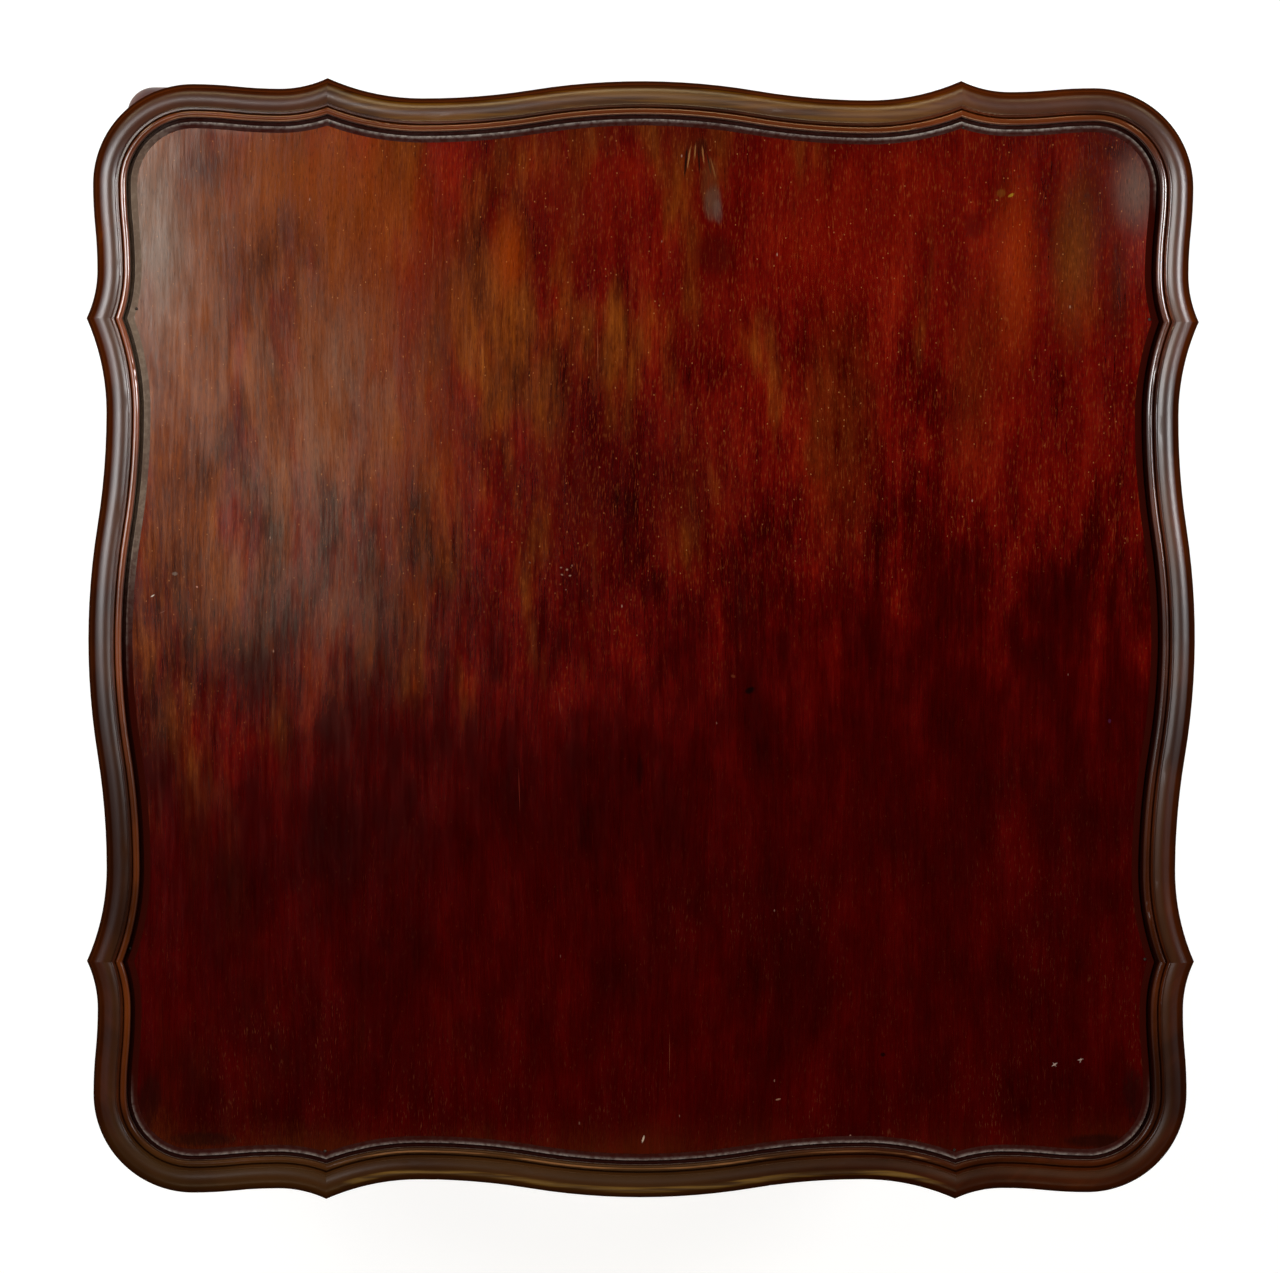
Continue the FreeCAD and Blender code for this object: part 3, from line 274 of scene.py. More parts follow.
def rim_places(g, spot):
    """Shares that say where on the rim a point is: on which moulding, and on which side of the table."""
    x, y, z = g.split(spot)
    across = g.math("ABSOLUTE", x)
    facing = g.facing()
    upright = g.split(facing)["Z"]
    flat = g.joined(x, y, 0.0)
    outward = g.add("ShaderNodeVectorMath", {0: facing, 1: flat}, operation="DOT_PRODUCT").outputs["Value"]

    def height(low, high, *shares):
        """A smooth step between two heights, in millimetres above the panel's face."""
        return g.level(z, PANEL_TOP + low / 1000, PANEL_TOP + high / 1000, *shares)

    crest = height(6.6, 8.0)
    front = g.level(y, -0.36, -0.40)
    back = g.level(y, 0.36, 0.40)
    golden = g.product(back, g.level(across, 0.30, 0.20))
    return SimpleNamespace(
        # Mouldings, from the highest to the lowest
        crest=crest,
        bead=g.product(height(4.0, 5.0), height(6.6, 6.2)),
        bead_top=g.level(upright, 0.96, 0.995),
        cove=g.product(height(2.6, 1.8), g.level(outward, 0.06, 0.01)),
        cove_wall=height(0.3, 1.5, 0.05, 1.0),
        groove=height(-0.1, -0.6),
        # Faces, by the way they look
        side=g.product(g.level(upright, 0.88, 0.50), g.level(outward, 0.05, 0.20)),
        shoulder=g.product(g.level(upright, 0.990, 0.965), g.level(upright, 0.75, 0.88),
                           g.level(outward, 0.01, 0.04)),
        turned_out=g.product(g.level(upright, 0.95, 0.80), g.level(outward, 0.02, 0.10)),
        turned_in=g.level(outward, 0.04, -0.06),
        # Stretches of the rim, by the side of the table
        front_left=g.product(front, g.level(x, 0.20, -0.02)),
        front_middle=g.product(front, g.level(across, 0.245, 0.205)),
        back=back,
        golden=golden,
        plain=g.product(back, crest, g.math("SUBTRACT", 1.0, golden)),
        left=g.product(g.level(x, -0.10, -0.38, 0.05, 0.65), g.level(y, -0.39, -0.30, 0.15, 1.0)),
        upper_left=g.product(g.level(x, -0.35, -0.39), g.level(y, -0.05, 0.12)),
        ends=g.level(g.math("ABSOLUTE", y), 0.33, 0.385),
        polished=g.level(y, -0.25, 0.15),
        dusted=g.level(y, -0.3, 0.0, 0.5, 1.0),
    )


def rim_polish(g, where, colour, streak, blotch):
    """Tints of the rim: painted sheen on the crest and painted gold sheen at the back, painted highlights on
    the bead and painted gold glints at the front, painted shade on the outer side, brown on the back crest
    beside the gold, and darker towards the front.
    """
    # Painted sheen: an olive cast over the front left of the rim.
    olive = g.product(where.front_left, g.level(blotch, 0.30, 0.55, 0.3, 0.7))
    colour = g.mix(olive, colour, RIM_TINTS.olive)
    # Painted sheen on the inner half of the crest: grey-brown at the sides, brown at the back, darker at the
    # front.
    crest_sheen = g.product(where.crest, where.turned_in, g.level(blotch, 0.35, 0.65, 0.10, 0.40))
    # Painted gold sheen in streaks on the crest at the middle of the back.
    gold_sheen = g.product(where.golden, where.crest, g.level(streak, 0.36, 0.64, 0.10, 0.60))
    tint = g.mix(where.back, RIM_TINTS.rubbed_side, RIM_TINTS.rubbed_back)
    tint = g.mix(where.polished, RIM_TINTS.rubbed_front, tint)
    tint = g.mix(where.golden, tint, RIM_TINTS.gold)
    colour = g.mix(g.math("MAXIMUM", crest_sheen, gold_sheen), colour, tint)
    colour = g.mix(g.product(where.plain, 0.6), colour, RIM_TINTS.brown)
    # Painted warm highlight on the bead, strongest on the left and faint along the back.
    bead_highlight = g.product(where.bead, g.math("SUBTRACT", 1.0, where.side), where.left,
                        g.level(blotch, 0.32, 0.62, 0.3, 1.0))
    bead_highlight = g.math("MAXIMUM", bead_highlight, g.product(where.bead, where.back, 0.28))
    colour = g.mix(bead_highlight, colour, RIM_TINTS.bead)
    # Painted shade on the steep outer side of the rim.
    colour = g.mix(g.product(where.side, 0.7), colour, RIM_TINTS.outer_side)
    colour = g.mix(g.level(where.polished, 1.0, 0.0, 0.0, 0.40), colour, RIM_TINTS.dark_front)
    # Painted gold glints in streaks on the outer shoulder of the crest at the front.
    lip = g.product(where.front_middle, where.crest, where.shoulder, g.level(streak, 0.42, 0.62, 0.05, 0.62))
    colour = g.mix(lip, colour, RIM_TINTS.lip)
    # Painted glints in streaks on the top of the bead at the front.
    bead_glint = g.product(where.front_middle, where.bead, where.bead_top, g.level(streak, 0.42, 0.60, 0.10, 0.60))
    return g.mix(bead_glint, colour, RIM_TINTS.bead_tip)


def rim_dust(g, where, spot, colour, blotch):
    """Dust that has settled in the cove, in crumbs at the front and back; evenly at the upper left, where its
    grey is dust and painted reflection.
    """
    crumbs = g.noise(g.grid(spot, (0.004, 0.004, 0.004)), 3.0, 0.6)
    loose = g.math("MAXIMUM", g.level(crumbs, 0.35, 0.62, 0.35, 1.0), g.product(where.upper_left, 0.75))
    dusty = g.product(g.math("MAXIMUM", where.ends, where.upper_left), g.level(blotch, 0.30, 0.60, 0.45, 1.0),
                      where.dusted, loose)
    settled = g.math("MAXIMUM", where.cove_wall, g.product(where.upper_left, 0.8))
    # At the upper left the even grey stands for dust and painted reflection.
    dust = g.mix(where.upper_left, RIM_TINTS.dust, RIM_TINTS.left_dust)
    return g.mix(where.cove, colour, g.mix(g.product(dusty, settled), RIM_TINTS.clean_cove, dust))


def rim_wood(name, axis, turn=0.0):
    """The rim: a soft gloss on its crest and a sharper one on its bead, painted sheen, glints and highlights
    on its polish, painted shade on its outer side, in its groove and in its hollows, and dust in its cove.
    """
    material, g = new_material(name)
    spot = g.spot()
    colour, streak, pores, blotch = wood_layers(g, spot, axis, RIM_TONES, turn, RIM_GRIME_AND_SHADE, figured=0.35)
    where = rim_places(g, spot)
    colour = rim_polish(g, where, colour, streak, blotch)
    colour = rim_dust(g, where, spot, colour, blotch)
    # Darker in the hollows of the mouldings: painted shade, and grime.
    open_share = g.level(g.hollows(0.0035), 0.25, 0.70)
    colour = g.mix(open_share, RIM_TINTS.grime, colour)
    # Painted shade: near black at the bottom of the deep groove inside the bead.
    groove = g.product(where.groove, g.level(open_share, 0.90, 0.45))
    colour = g.mix(groove, colour, RIM_TINTS.groove)

    dull = g.math("MAXIMUM", where.turned_out, g.math("MAXIMUM", where.cove, groove))
    glossy = g.level(dull, 1.0, 0.0)
    soft = g.level(where.crest, 0.0, 1.0, 0.24, 0.40)
    rough = g.sum(soft, g.swing(streak, 0.04), g.swing(blotch, 0.08), g.product(dull, 0.25))
    height = g.sum(g.product(pores, -1.0), g.product(streak, 0.3))
    shine = g.product(glossy, g.level(where.polished, 0.0, 1.0, 0.10, 0.42))
    coat = g.product(glossy, g.level(where.polished, 0.0, 1.0, 0.10, 1.0),
                     g.level(where.plain, 0.0, 1.0, 1.0, 0.5))
    g.surface(Base_Color=colour, Roughness=rough, Normal=g.bump(height, 0.00003), Specular_IOR_Level=shine,
              Coat_Weight=coat, Coat_Roughness=g.level(where.crest, 0.0, 1.0, 0.12, 0.30))
    return material


# Marks on the panel: pixel, radii in millimetres, turn in degrees, colour, strength
MARKS = (
    ((561, 568), (1.4, 1.1), 0, (140, 108, 92), 0.7),
    ((567, 570), (1.5, 1.3), 20, (150, 120, 102), 0.7),
    ((572, 566), (1.0, 1.4), 0, (120, 88, 74), 0.7),
    ((562, 575), (1.6, 1.1), -30, (140, 110, 94), 0.7),
    ((570, 576), (1.7, 1.0), 10, (150, 122, 104), 0.7),
    ((566, 590), (0.9, 0.6), 0, (120, 92, 80), 0.7),
    ((530, 563), (1.6, 0.8), -45, (110, 84, 74), 0.6),
    ((645, 1140), (1.2, 4.5), -15, (190, 170, 150), 0.8),
    ((780, 1100), (3.2, 1.1), 12, (150, 110, 90), 0.6),
    ((750, 690), (6.5, 4.0), 25, (8, 2, 2), 0.85),
    ((733, 676), (3.0, 2.0), -20, (95, 45, 25), 0.6),
    ((885, 1055), (3.5, 2.8), 0, (6, 2, 2), 0.8),
    ((699, 150), (9.0, 12.0), 0, (24, 10, 5), 0.50),
    ((684, 164), (1.7, 19.0), -5, (18, 8, 5), 0.85),
    ((687, 160), (1.1, 13.0), -8, (150, 105, 62), 0.65),
    ((693, 154), (1.1, 10.0), -5, (140, 95, 55), 0.60),
    ((697, 163), (1.3, 15.0), 3, (20, 8, 5), 0.75),
    ((701, 157), (1.0, 11.0), 6, (150, 100, 58), 0.60),
    ((707, 166), (1.2, 14.0), 12, (24, 10, 6), 0.70),
    ((711, 170), (1.1, 14.0), 15, (132, 86, 48), 0.60),
    ((708, 188), (12.0, 34.0), 0, (78, 52, 26), 0.35),
    ((711, 205), (11.0, 22.0), -4, (88, 78, 66), 0.28),
    ((716, 213), (6.0, 15.0), 6, (98, 88, 80), 0.22),
    ((713, 256), (24.0, 28.0), 0, (48, 3, 2), 0.50),
    ((1008, 196), (4.0, 1.8), 30, (150, 122, 34), 0.6),
    ((998, 194), (6.0, 5.0), 0, (110, 66, 20), 0.35),
    ((994, 201), (1.8, 0.8), -20, (150, 120, 70), 0.6),
    ((973, 226), (14.0, 17.0), 0, (58, 1, 1), 0.5),
    ((1057, 1065), (4.0, 0.9), 32, (180, 160, 150), 0.6),
    ((1057, 1065), (3.0, 0.9), -50, (160, 140, 130), 0.6),
    ((1083, 1060), (3.6, 0.9), 12, (170, 150, 140), 0.6),
    ((1083, 1061), (3.2, 0.9), 78, (150, 130, 120), 0.6),
    ((1140, 1100), (16.0, 40.0), 12, (12, 5, 4), 0.6),
    ((1100, 1142), (42.0, 9.0), 0, (14, 5, 3), 0.6),
    ((150, 1105), (16.0, 40.0), -12, (14, 6, 4), 0.5),
    ((205, 1140), (42.0, 9.0), 0, (16, 7, 4), 0.5),
    ((177, 575), (3.5, 2.2), 0, (120, 108, 100), 0.5),
    ((155, 597), (2.8, 0.7), 31, (215, 200, 185), 0.8),
    ((199, 588), (1.4, 1.0), -20, (190, 140, 130), 0.7),
    ((165, 613), (4.2, 0.6), 25, (120, 90, 84), 0.5),
    ((671, 1055), (0.4, 26.0), 0, (120, 66, 44), 0.5),
    ((597, 355), (0.5, 34.0), 1, (150, 90, 60), 0.35),
    ((433, 250), (0.5, 22.0), -2, (160, 100, 66), 0.3),
    ((520, 790), (0.6, 26.0), 2, (110, 40, 30), 0.45),
    ((640, 770), (4.0, 22.0), 0, (12, 1, 1), 0.5),
    ((560, 705), (0.4, 12.0), 6, (130, 70, 55), 0.4),
    ((1110, 720), (1.8, 2.6), 0, (70, 30, 60), 0.5),
)


# Patches of colour on the panel: pixel at the middle, radii in millimetres, colour, strength
ZONES = (
    ((320, 185), (105, 85), (124, 58, 11), 0.65),
    ((400, 265), (80, 120), (112, 36, 5), 0.55),
    ((330, 390), (75, 150), (106, 48, 12), 0.60),
    ((420, 450), (65, 150), (98, 34, 4), 0.60),
    ((400, 610), (65, 80), (80, 24, 3), 0.50),
    ((565, 205), (80, 95), (84, 9, 2), 0.70),
    ((508, 255), (18, 50), (150, 58, 4), 0.55),
    ((690, 150), (50, 60), (60, 12, 2), 0.60),
    ((690, 505), (60, 110), (56, 7, 1), 0.60),
    ((700, 270), (60, 120), (80, 6, 1), 0.50),
    ((835, 430), (40, 140), (84, 30, 3), 0.60),
    ((970, 375), (34, 120), (88, 27, 4), 0.50),
    ((880, 200), (160, 80), (95, 12, 2), 0.50),
    ((1060, 430), (95, 200), (90, 5, 1), 0.50),
    ((1095, 190), (60, 90), (54, 10, 2), 0.65),
    ((320, 640), (95, 110), (92, 36, 8), 0.60),
    ((150, 740), (55, 80), (54, 3, 1), 0.60),
    ((590, 490), (85, 135), (50, 3, 1), 0.75),
    ((835, 265), (60, 70), (104, 9, 1), 0.50),
    ((190, 260), (60, 150), (122, 66, 30), 0.50),
    # Painted reflection: a grey haze of light near the left edge.
    ((148, 240), (46, 140), (112, 99, 88), 0.60),
    ((250, 126), (70, 13), (110, 98, 90), 0.55),
    ((207, 172), (24, 26), (46, 18, 18), 0.60),
    ((292, 235), (14, 34), (52, 20, 18), 0.50),
    ((1010, 270), (26, 110), (128, 40, 5), 0.60),
    ((1070, 260), (26, 90), (96, 50, 14), 0.60),
    ((950, 260), (24, 90), (70, 2, 1), 0.60),
    ((1115, 150), (30, 22), (36, 8, 4), 0.70),
    # Painted reflection: a grey haze of light near the back right corner.
    ((1133, 190), (26, 44), (96, 78, 70), 0.70),
    ((1115, 290), (14, 60), (48, 14, 4), 0.60),
)


PANEL_TINTS = tints(
    rear=(58, 4, 2), smudge=(16, 0, 0), fleck=(168, 92, 44), pore=(28, 2, 1), speck=(158, 120, 104),
    dot=(196, 132, 78), front=(92, 42, 12), scuff=(128, 84, 54),
)


def panel_zones(g, spot, colour, share):
    """Lays the patches over the panel's colour, where the share lets them show."""
    for pixel, radii, tint, strength in ZONES:
        size = tuple(radius / 1000 for radius in radii)
        patch = g.product(g.oval(spot, at(*pixel), size), share, strength)
        colour = g.mix(patch, colour, seen(*tint))
    return colour


def panel_marks(g, place, fibre, colour):
    """Dents, stains and scratches, with ragged edges."""
    for pixel, radii, turn, tint, strength in MARKS:
        size = tuple(radius / 1000 for radius in radii)
        oval = g.oval(place, at(*pixel), size, math.radians(turn))
        ragged = g.level(g.product(oval, g.sum(1.0, g.swing(fibre, 0.9))), 0.10, 0.70, 0.0, strength)
        colour = g.mix(ragged, colour, seen(*tint))
    return colour


def panel_wood():
    """The sunk panel: one board, grain front to back, lighter towards the back left and dark in front, partly
    from fading of the wood and partly as painted light.
    """
    material, g = new_material("panel_wood")
    place = g.spot()
    x, y, z = g.split(place)
    wander = g.noise(g.grid(place, (0.10, 0.45, 0.10)), 2.0)
    spot = g.joined(g.sum(x, g.swing(wander, 0.014)), y, z)

    patch = g.noise(g.grid(spot, (0.026, 0.095, 0.05)), 4.0, 0.6)
    blotch = g.noise(g.grid(place, (0.050, 0.075, 0.05), 0.0, (0.1, 0.4, 0)), 4.0, 0.55)
    hue = g.noise(g.grid(spot, (0.030, 0.130, 0.05), 0.0, (0.5, 0.3, 0)), 3.0, 0.55)
    streak = g.noise(g.grid(spot, (0.0034, 0.055, 0.05)), 3.0)
    fibre = g.noise(g.grid(spot, (0.0008, 0.0060, 0.05)), 2.0)
    grain = g.noise(g.grid(spot, (0.0011, 0.0200, 0.05)), 3.0, 0.6)
    gloss = g.noise(g.grid(spot, (0.0140, 0.055, 0.05), 0.0, (0.3, 0.6, 0)), 4.0, 0.6)
    sheen = g.noise(g.grid(spot, (0.0016, 0.026, 0.05), 0.0, (0.9, 0.1, 0)), 3.0, 0.6)
    cloud = g.noise(g.grid(place, (0.15, 0.20, 0.2), 0.0, (0.7, 0.2, 0)), 3.0)

    left = g.math("MAXIMUM", g.product(x, -0.25), 0.0)
    depth = g.sum(y, left, g.swing(patch, 0.14), g.swing(blotch, 0.08), g.swing(cloud, 0.10),
                  g.swing(streak, 0.05))
    # Lighter towards the back left and darker in front: partly the wood's fading, partly painted light.
    fade_and_light = g.level(depth, -0.13, 0.30)
    lively = g.level(fade_and_light, 0.0, 0.5, 0.40, 1.0)
    figure = g.sum(g.swing(patch, 0.54), g.swing(streak, 0.18), g.swing(grain, 0.30))
    tone = g.sum(0.19, g.product(fade_and_light, 0.35), g.product(lively, figure), g.swing(blotch, 0.20))
    red = g.ramp(tone, RED_TONES)
    brown = g.ramp(tone, BROWN_TONES)
    lean = g.sum(hue, g.product(x, -0.50), g.product(fade_and_light, 0.20))
    browned = g.product(g.level(lean, 0.65, 0.88), g.level(fade_and_light, 0.0, 0.40, 0.25, 1.0))
    colour = g.mix(browned, red, brown)
    show = g.level(g.sum(fade_and_light, g.swing(streak, 0.5), g.swing(patch, 0.6)), 0.10, 0.85)
    colour = panel_zones(g, spot, colour, show)

    # Painted shadow of the back rim on the panel along its back edge.
    rear = g.level(g.sum(y, g.swing(cloud, 0.04)), 0.365, 0.405)
    colour = g.mix(g.product(rear, g.level(x, -0.20, -0.05, 0.0, 0.55)), colour, PANEL_TINTS.rear)
    smudge = g.level(g.noise(g.grid(place, (0.07, 0.14, 0.1), 0.0, (0.2, 0.9, 0)), 3.0), 0.50, 0.74, 0.0, 0.4)
    colour = g.mix(g.product(smudge, g.level(fade_and_light, 0.75, 0.15)), colour, PANEL_TINTS.smudge)
    fleck = g.product(g.level(fibre, 0.56, 0.72, 0.0, 0.18), g.level(fade_and_light, 0.10, 0.6, 0.06, 1.0))
    colour = g.mix(fleck, colour, PANEL_TINTS.fleck)
    pore = g.product(g.level(fibre, 0.44, 0.30, 0.0, 0.38), g.level(fade_and_light, 0.10, 0.6, 0.2, 1.0))
    colour = g.mix(pore, colour, PANEL_TINTS.pore)

    gap, pick = g.cells(g.grid(place, (0.015, 0.034, 0.05)))
    speck = g.product(g.level(gap, 0.050, 0.018), g.level(pick, 0.78, 0.82), 0.7)
    colour = g.mix(speck, colour, PANEL_TINTS.speck)
    dot, chosen = g.cells(g.grid(place, (0.0042, 0.0060, 0.05)))
    dots = g.product(g.level(dot, 0.14, 0.06), g.level(chosen, 0.60, 0.75),
                     g.level(fade_and_light, 0.15, 0.7, 0.03, 0.40))
    colour = g.mix(dots, colour, PANEL_TINTS.dot)
    front = g.level(g.sum(y, g.swing(fibre, 0.03), g.swing(cloud, 0.05)), -0.365, -0.410)
    colour = g.mix(g.product(front, g.level(x, 0.15, -0.25, 0.15, 0.35)), colour, PANEL_TINTS.front)
    worn = g.product(g.level(y, -0.02, -0.30), g.level(cloud, 0.40, 0.62, 0.15, 1.0))
    scuff = g.product(g.level(fibre, 0.60, 0.74), worn, g.level(patch, 0.40, 0.60, 0.05, 0.22))
    colour = g.mix(scuff, colour, PANEL_TINTS.scuff)
    colour = panel_marks(g, place, fibre, colour)

    bare = g.under()
    colour = g.mix(bare, colour, g.ramp(tone, UNDERSIDE_TONES))
    rough = g.sum(0.115, g.swing(streak, 0.04), g.swing(patch, 0.03), g.swing(cloud, 0.03),
                  g.product(bare, 0.5))
    height = g.sum(g.product(pore, -0.8), g.product(streak, 0.5), g.product(fibre, 0.4))
    shine = g.level(g.sum(g.product(gloss, 0.55), g.product(sheen, 0.45)), 0.37, 0.63, 0.26, 0.78)
    g.surface(Base_Color=colour, Roughness=rough, Normal=g.bump(height, 0.000008),
              Specular_IOR_Level=g.product(shine, g.level(bare, 1.0, 0.0, 0.2, 1.0)))
    return material


def bare_wood(name, axis, tones, pore_colour, roughness=0.62, pores=0.5):
    """Wood without a coat of polish: streaks, open pores and a dry or waxed surface."""
    material, g = new_material(name)
    spot = g.spot()
    figure = g.noise(g.grid(spot, along_axis(axis, 0.30, 0.018)), 4.0)
    streak = g.noise(g.grid(spot, along_axis(axis, 0.06, 0.0022)), 3.0)
    fibre = g.noise(g.grid(spot, along_axis(axis, 0.012, 0.0006)), 2.0)
    tone = g.sum(0.5, g.swing(figure, 0.8), g.swing(streak, 0.5))
    colour = g.mix(g.level(fibre, 0.58, 0.70, 0.0, pores), g.ramp(tone, tones), seen(*pore_colour))
    shade = g.level(g.hollows(0.012), 0.2, 0.9)
    colour = g.mix(shade, seen(*pore_colour), colour)
    rough = g.sum(roughness, g.swing(streak, 0.12))
    height = g.sum(g.product(fibre, -0.6), g.product(streak, 0.6))
    g.surface(Base_Color=colour, Roughness=rough, Normal=g.bump(height, 0.00015))
    return material


# Metal and cloth


def aged_metal(name, bright, dull, roughness):
    """Rubbed metal that is bright where hands reach and tarnished in spots and hollows."""
    material, g = new_material(name)
    spot = g.spot()
    cloud = g.noise(g.grid(spot, (0.006, 0.006, 0.006)), 4.0, 0.6)
    grit = g.noise(g.grid(spot, (0.0008, 0.0008, 0.0008)), 2.0)
    open_share = g.level(g.hollows(0.005), 0.2, 0.8)
    tarnish = g.sum(g.level(cloud, 0.45, 0.70, 0.0, 0.7), g.level(open_share, 1.0, 0.0, 0.0, 0.8))
    colour = g.mix(g.math("MINIMUM", tarnish, 0.9), seen(*bright), seen(*dull))
    rough = g.sum(roughness, g.product(tarnish, 0.25), g.swing(grit, 0.08))
    g.surface(Base_Color=colour, Roughness=rough, Metallic=1.0, Normal=g.bump(grit, 0.00003))
    return material


def card_cloth():
    """Green napped wool: short fibres every way, faint wear and a soft sheen."""
    material, g = new_material("baize")
    spot = g.spot()
    nap = g.noise(g.grid(spot, (0.0007, 0.0007, 0.0007)), 4.0, 0.65, 0.6)
    hair = g.noise(g.grid(spot, (0.0030, 0.0006, 0.002), 0.6), 3.0, 0.6, 1.2)
    wear = g.noise(g.grid(spot, (0.12, 0.10, 0.1)), 3.0)
    tone = g.sum(0.5, g.swing(nap, 0.5), g.swing(hair, 0.4), g.swing(wear, 0.5))
    colour = g.ramp(tone, shades((0.0, (14, 48, 28)), (0.5, (32, 84, 52)), (1.0, (70, 120, 82))))
    g.surface(Base_Color=colour, Roughness=0.95, Normal=g.bump(g.sum(nap, hair), 0.0004),
              Sheen_Weight=0.35, Sheen_Roughness=0.4, Sheen_Tint=seen(120, 170, 130))
    return material


# Which node gets which material


def edge_axis(edge):
    return "X" if edge in ("front", "back") else "Y"


def dress(name, material):
    mesh = NODES[name].data
    mesh.materials.clear()
    mesh.materials.append(material)


def dress_top():
    dress("top_panel", panel_wood())
    straight = {axis: rim_wood(f"rim_wood_{axis}", axis) for axis in "XY"}
    for edge in EDGES:
        dress(f"rim_{edge}", straight[edge_axis(edge)])
    for corner, turn in (("back_right", -45), ("front_left", -45), ("back_left", 45), ("front_right", 45)):
        dress(f"rim_corner_{corner}", rim_wood(f"rim_wood_{corner}", "X", math.radians(turn)))


def dress_frame(brass, oak):
    frame_wood = {axis: polished_wood(f"frame_wood_{axis}", axis, FRAME_TONES) for axis in "XY"}
    walnut_grime_and_shade = (24, 14, 8)
    board_wood = {axis: polished_wood(f"board_wood_{axis}", axis, BOARD_TONES, walnut_grime_and_shade) for axis in "XY"}
    knees = (0.46, 0.57)
    leg_wood = polished_wood("leg_wood", "Z", FRAME_TONES, roughness=0.32, polish=0.0, handled_from=knees)
    for corner in ("back_right", "back_left", "front_left", "front_right"):
        dress(f"leg_{corner}", leg_wood)
    for edge in EDGES:
        axis = edge_axis(edge)
        for node in ("apron", "knee_brackets", "surround", "drawer_front"):
            dress(f"{node}_{edge}", frame_wood[axis])
        dress(f"well_wall_{edge}", board_wood[axis])
        dress(f"drawer_box_{edge}", oak["Y" if axis == "X" else "X"])
        dress(f"drawer_bottom_{edge}", oak[axis])
        dress(f"knob_{edge}", brass)
    dress("well_floor", board_wood["Y"])
    dress("well_bar", board_wood["Y"])
    dress("points_light", bare_wood("light_inlay", "Y", BOX_TONES, (120, 84, 44), 0.34, 0.25))
    dress("points_dark", bare_wood("dark_inlay", "Y", EBONY_TONES, (8, 6, 5), 0.30, 0.5))
    for node in ("dust_board", "drawer_guides", "drawer_stops", "well_cleats", "corner_blocks"):
        dress(node, oak["X"])
    for node in ("locating_pins", "pin_sockets", "foot_glides"):
        dress(node, brass)
    dress("corner_screws", aged_metal("steel", (150, 148, 144), (70, 62, 56), 0.42))


# Pieces


def mesh_piece(name, build, material, body):
    """A new mesh object made by a function that fills a bmesh."""
    mesh = bpy.data.meshes.new(name)
    shape = bmesh.new()
    build(shape)
    bmesh.ops.recalc_face_normals(shape, faces=shape.faces)
    shape.to_mesh(mesh)
    shape.free()
    mesh.materials.append(material)
    piece = bpy.data.objects.new(name, mesh)
    bpy.context.scene.collection.objects.link(piece)
    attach(piece, body)
    return piece


def make_baize():
    """Card cloth in its recess under the top: a thin sheet, glued above, with a faintly uneven face."""
    low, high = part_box("baize_lining")
    play, lift, unevenness = 0.0004, 0.0002, 0.00015
    steps = 72
    chance = random.Random(7)
    thick = high.z - low.z - lift

    def build(shape):
        bmesh.ops.create_grid(shape, x_segments=steps, y_segments=steps, size=0.5)
        wide, deep = high.x - low.x - play * 2, high.y - low.y - play * 2
        for vert in shape.verts:
            vert.co.x = (low.x + high.x) / 2 + vert.co.x * wide
            vert.co.y = (low.y + high.y) / 2 + vert.co.y * deep
            vert.co.z = low.z + lift
        made = bmesh.ops.extrude_face_region(shape, geom=shape.faces[:])
        upper = [item for item in made["geom"] if isinstance(item, bmesh.types.BMVert)]
        for vert in upper:
            vert.co.z += thick
        glued = set(upper)
        for vert in shape.verts:
            if vert not in glued:
                vert.co.z += chance.uniform(0, unevenness)

    piece = mesh_piece("card_cloth", build, card_cloth(), "top")
    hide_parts("baize_lining")


# Pixels of the inner points of the cusps: two at the back, two at the front, then the left and right sides
CUSP_PIXELS = (
    (331, 127), (960, 129),
    (327, 1152), (957, 1151),
    (139, 312), (133, 949),
    (1147, 319), (1147, 959),
)


def make_cusp_pins(metal):
    """Small iron pins where the mouldings meet inside each cusp, half sunk in the edge of the panel."""
    radius, dome, rings, sides = 0.0012, 0.0010, 6, 14

    def build(shape):
        for pixel in CUSP_PIXELS:
            made = bmesh.ops.create_uvsphere(shape, u_segments=sides, v_segments=rings, radius=radius)
            for vert in made["verts"]:
                vert.co.z *= dome / radius
                vert.co += Vector((*at(*pixel), PANEL_TOP))

    mesh_piece("cusp_pins", build, metal, "top")


# Camera, floor and light


def aim(item, target, upward):
    """Points a camera or light at a target, with the upward direction at the top of its view."""
    back = (item.location - Vector(target)).normalized()
    side = Vector(upward).cross(back).normalized()
    turn = Matrix((side, back.cross(side), back)).transposed()
    item.rotation_euler = turn.to_euler()


def make_camera():
    """A long lens straight above, a little towards the back left corner."""
    height = 5.0
    seen_width = 0.989
    roll = math.radians(0.2)
    place = Vector((-0.150, 0.240, PANEL_TOP + height))
    lens = bpy.data.cameras.new("camera")
    lens.sensor_width = 36.0
    lens.sensor_fit = "HORIZONTAL"
    camera = bpy.data.objects.new("camera", lens)
    camera.location = place
    centre = at(PHOTO_SIZE[0] / 2, PHOTO_SIZE[1] / 2)
    target = Vector((*centre, PANEL_TOP))
    aim(camera, target, (-math.sin(roll), math.cos(roll), 0))
    lens.lens = lens.sensor_width * (target - place).length / seen_width
    lens.clip_end = 200.0
    bpy.context.scene.collection.objects.link(camera)
    bpy.context.scene.camera = camera


def grey(level):
    """A plain grey, as the linear colour that shaders use."""
    return (level, level, level, 1.0)


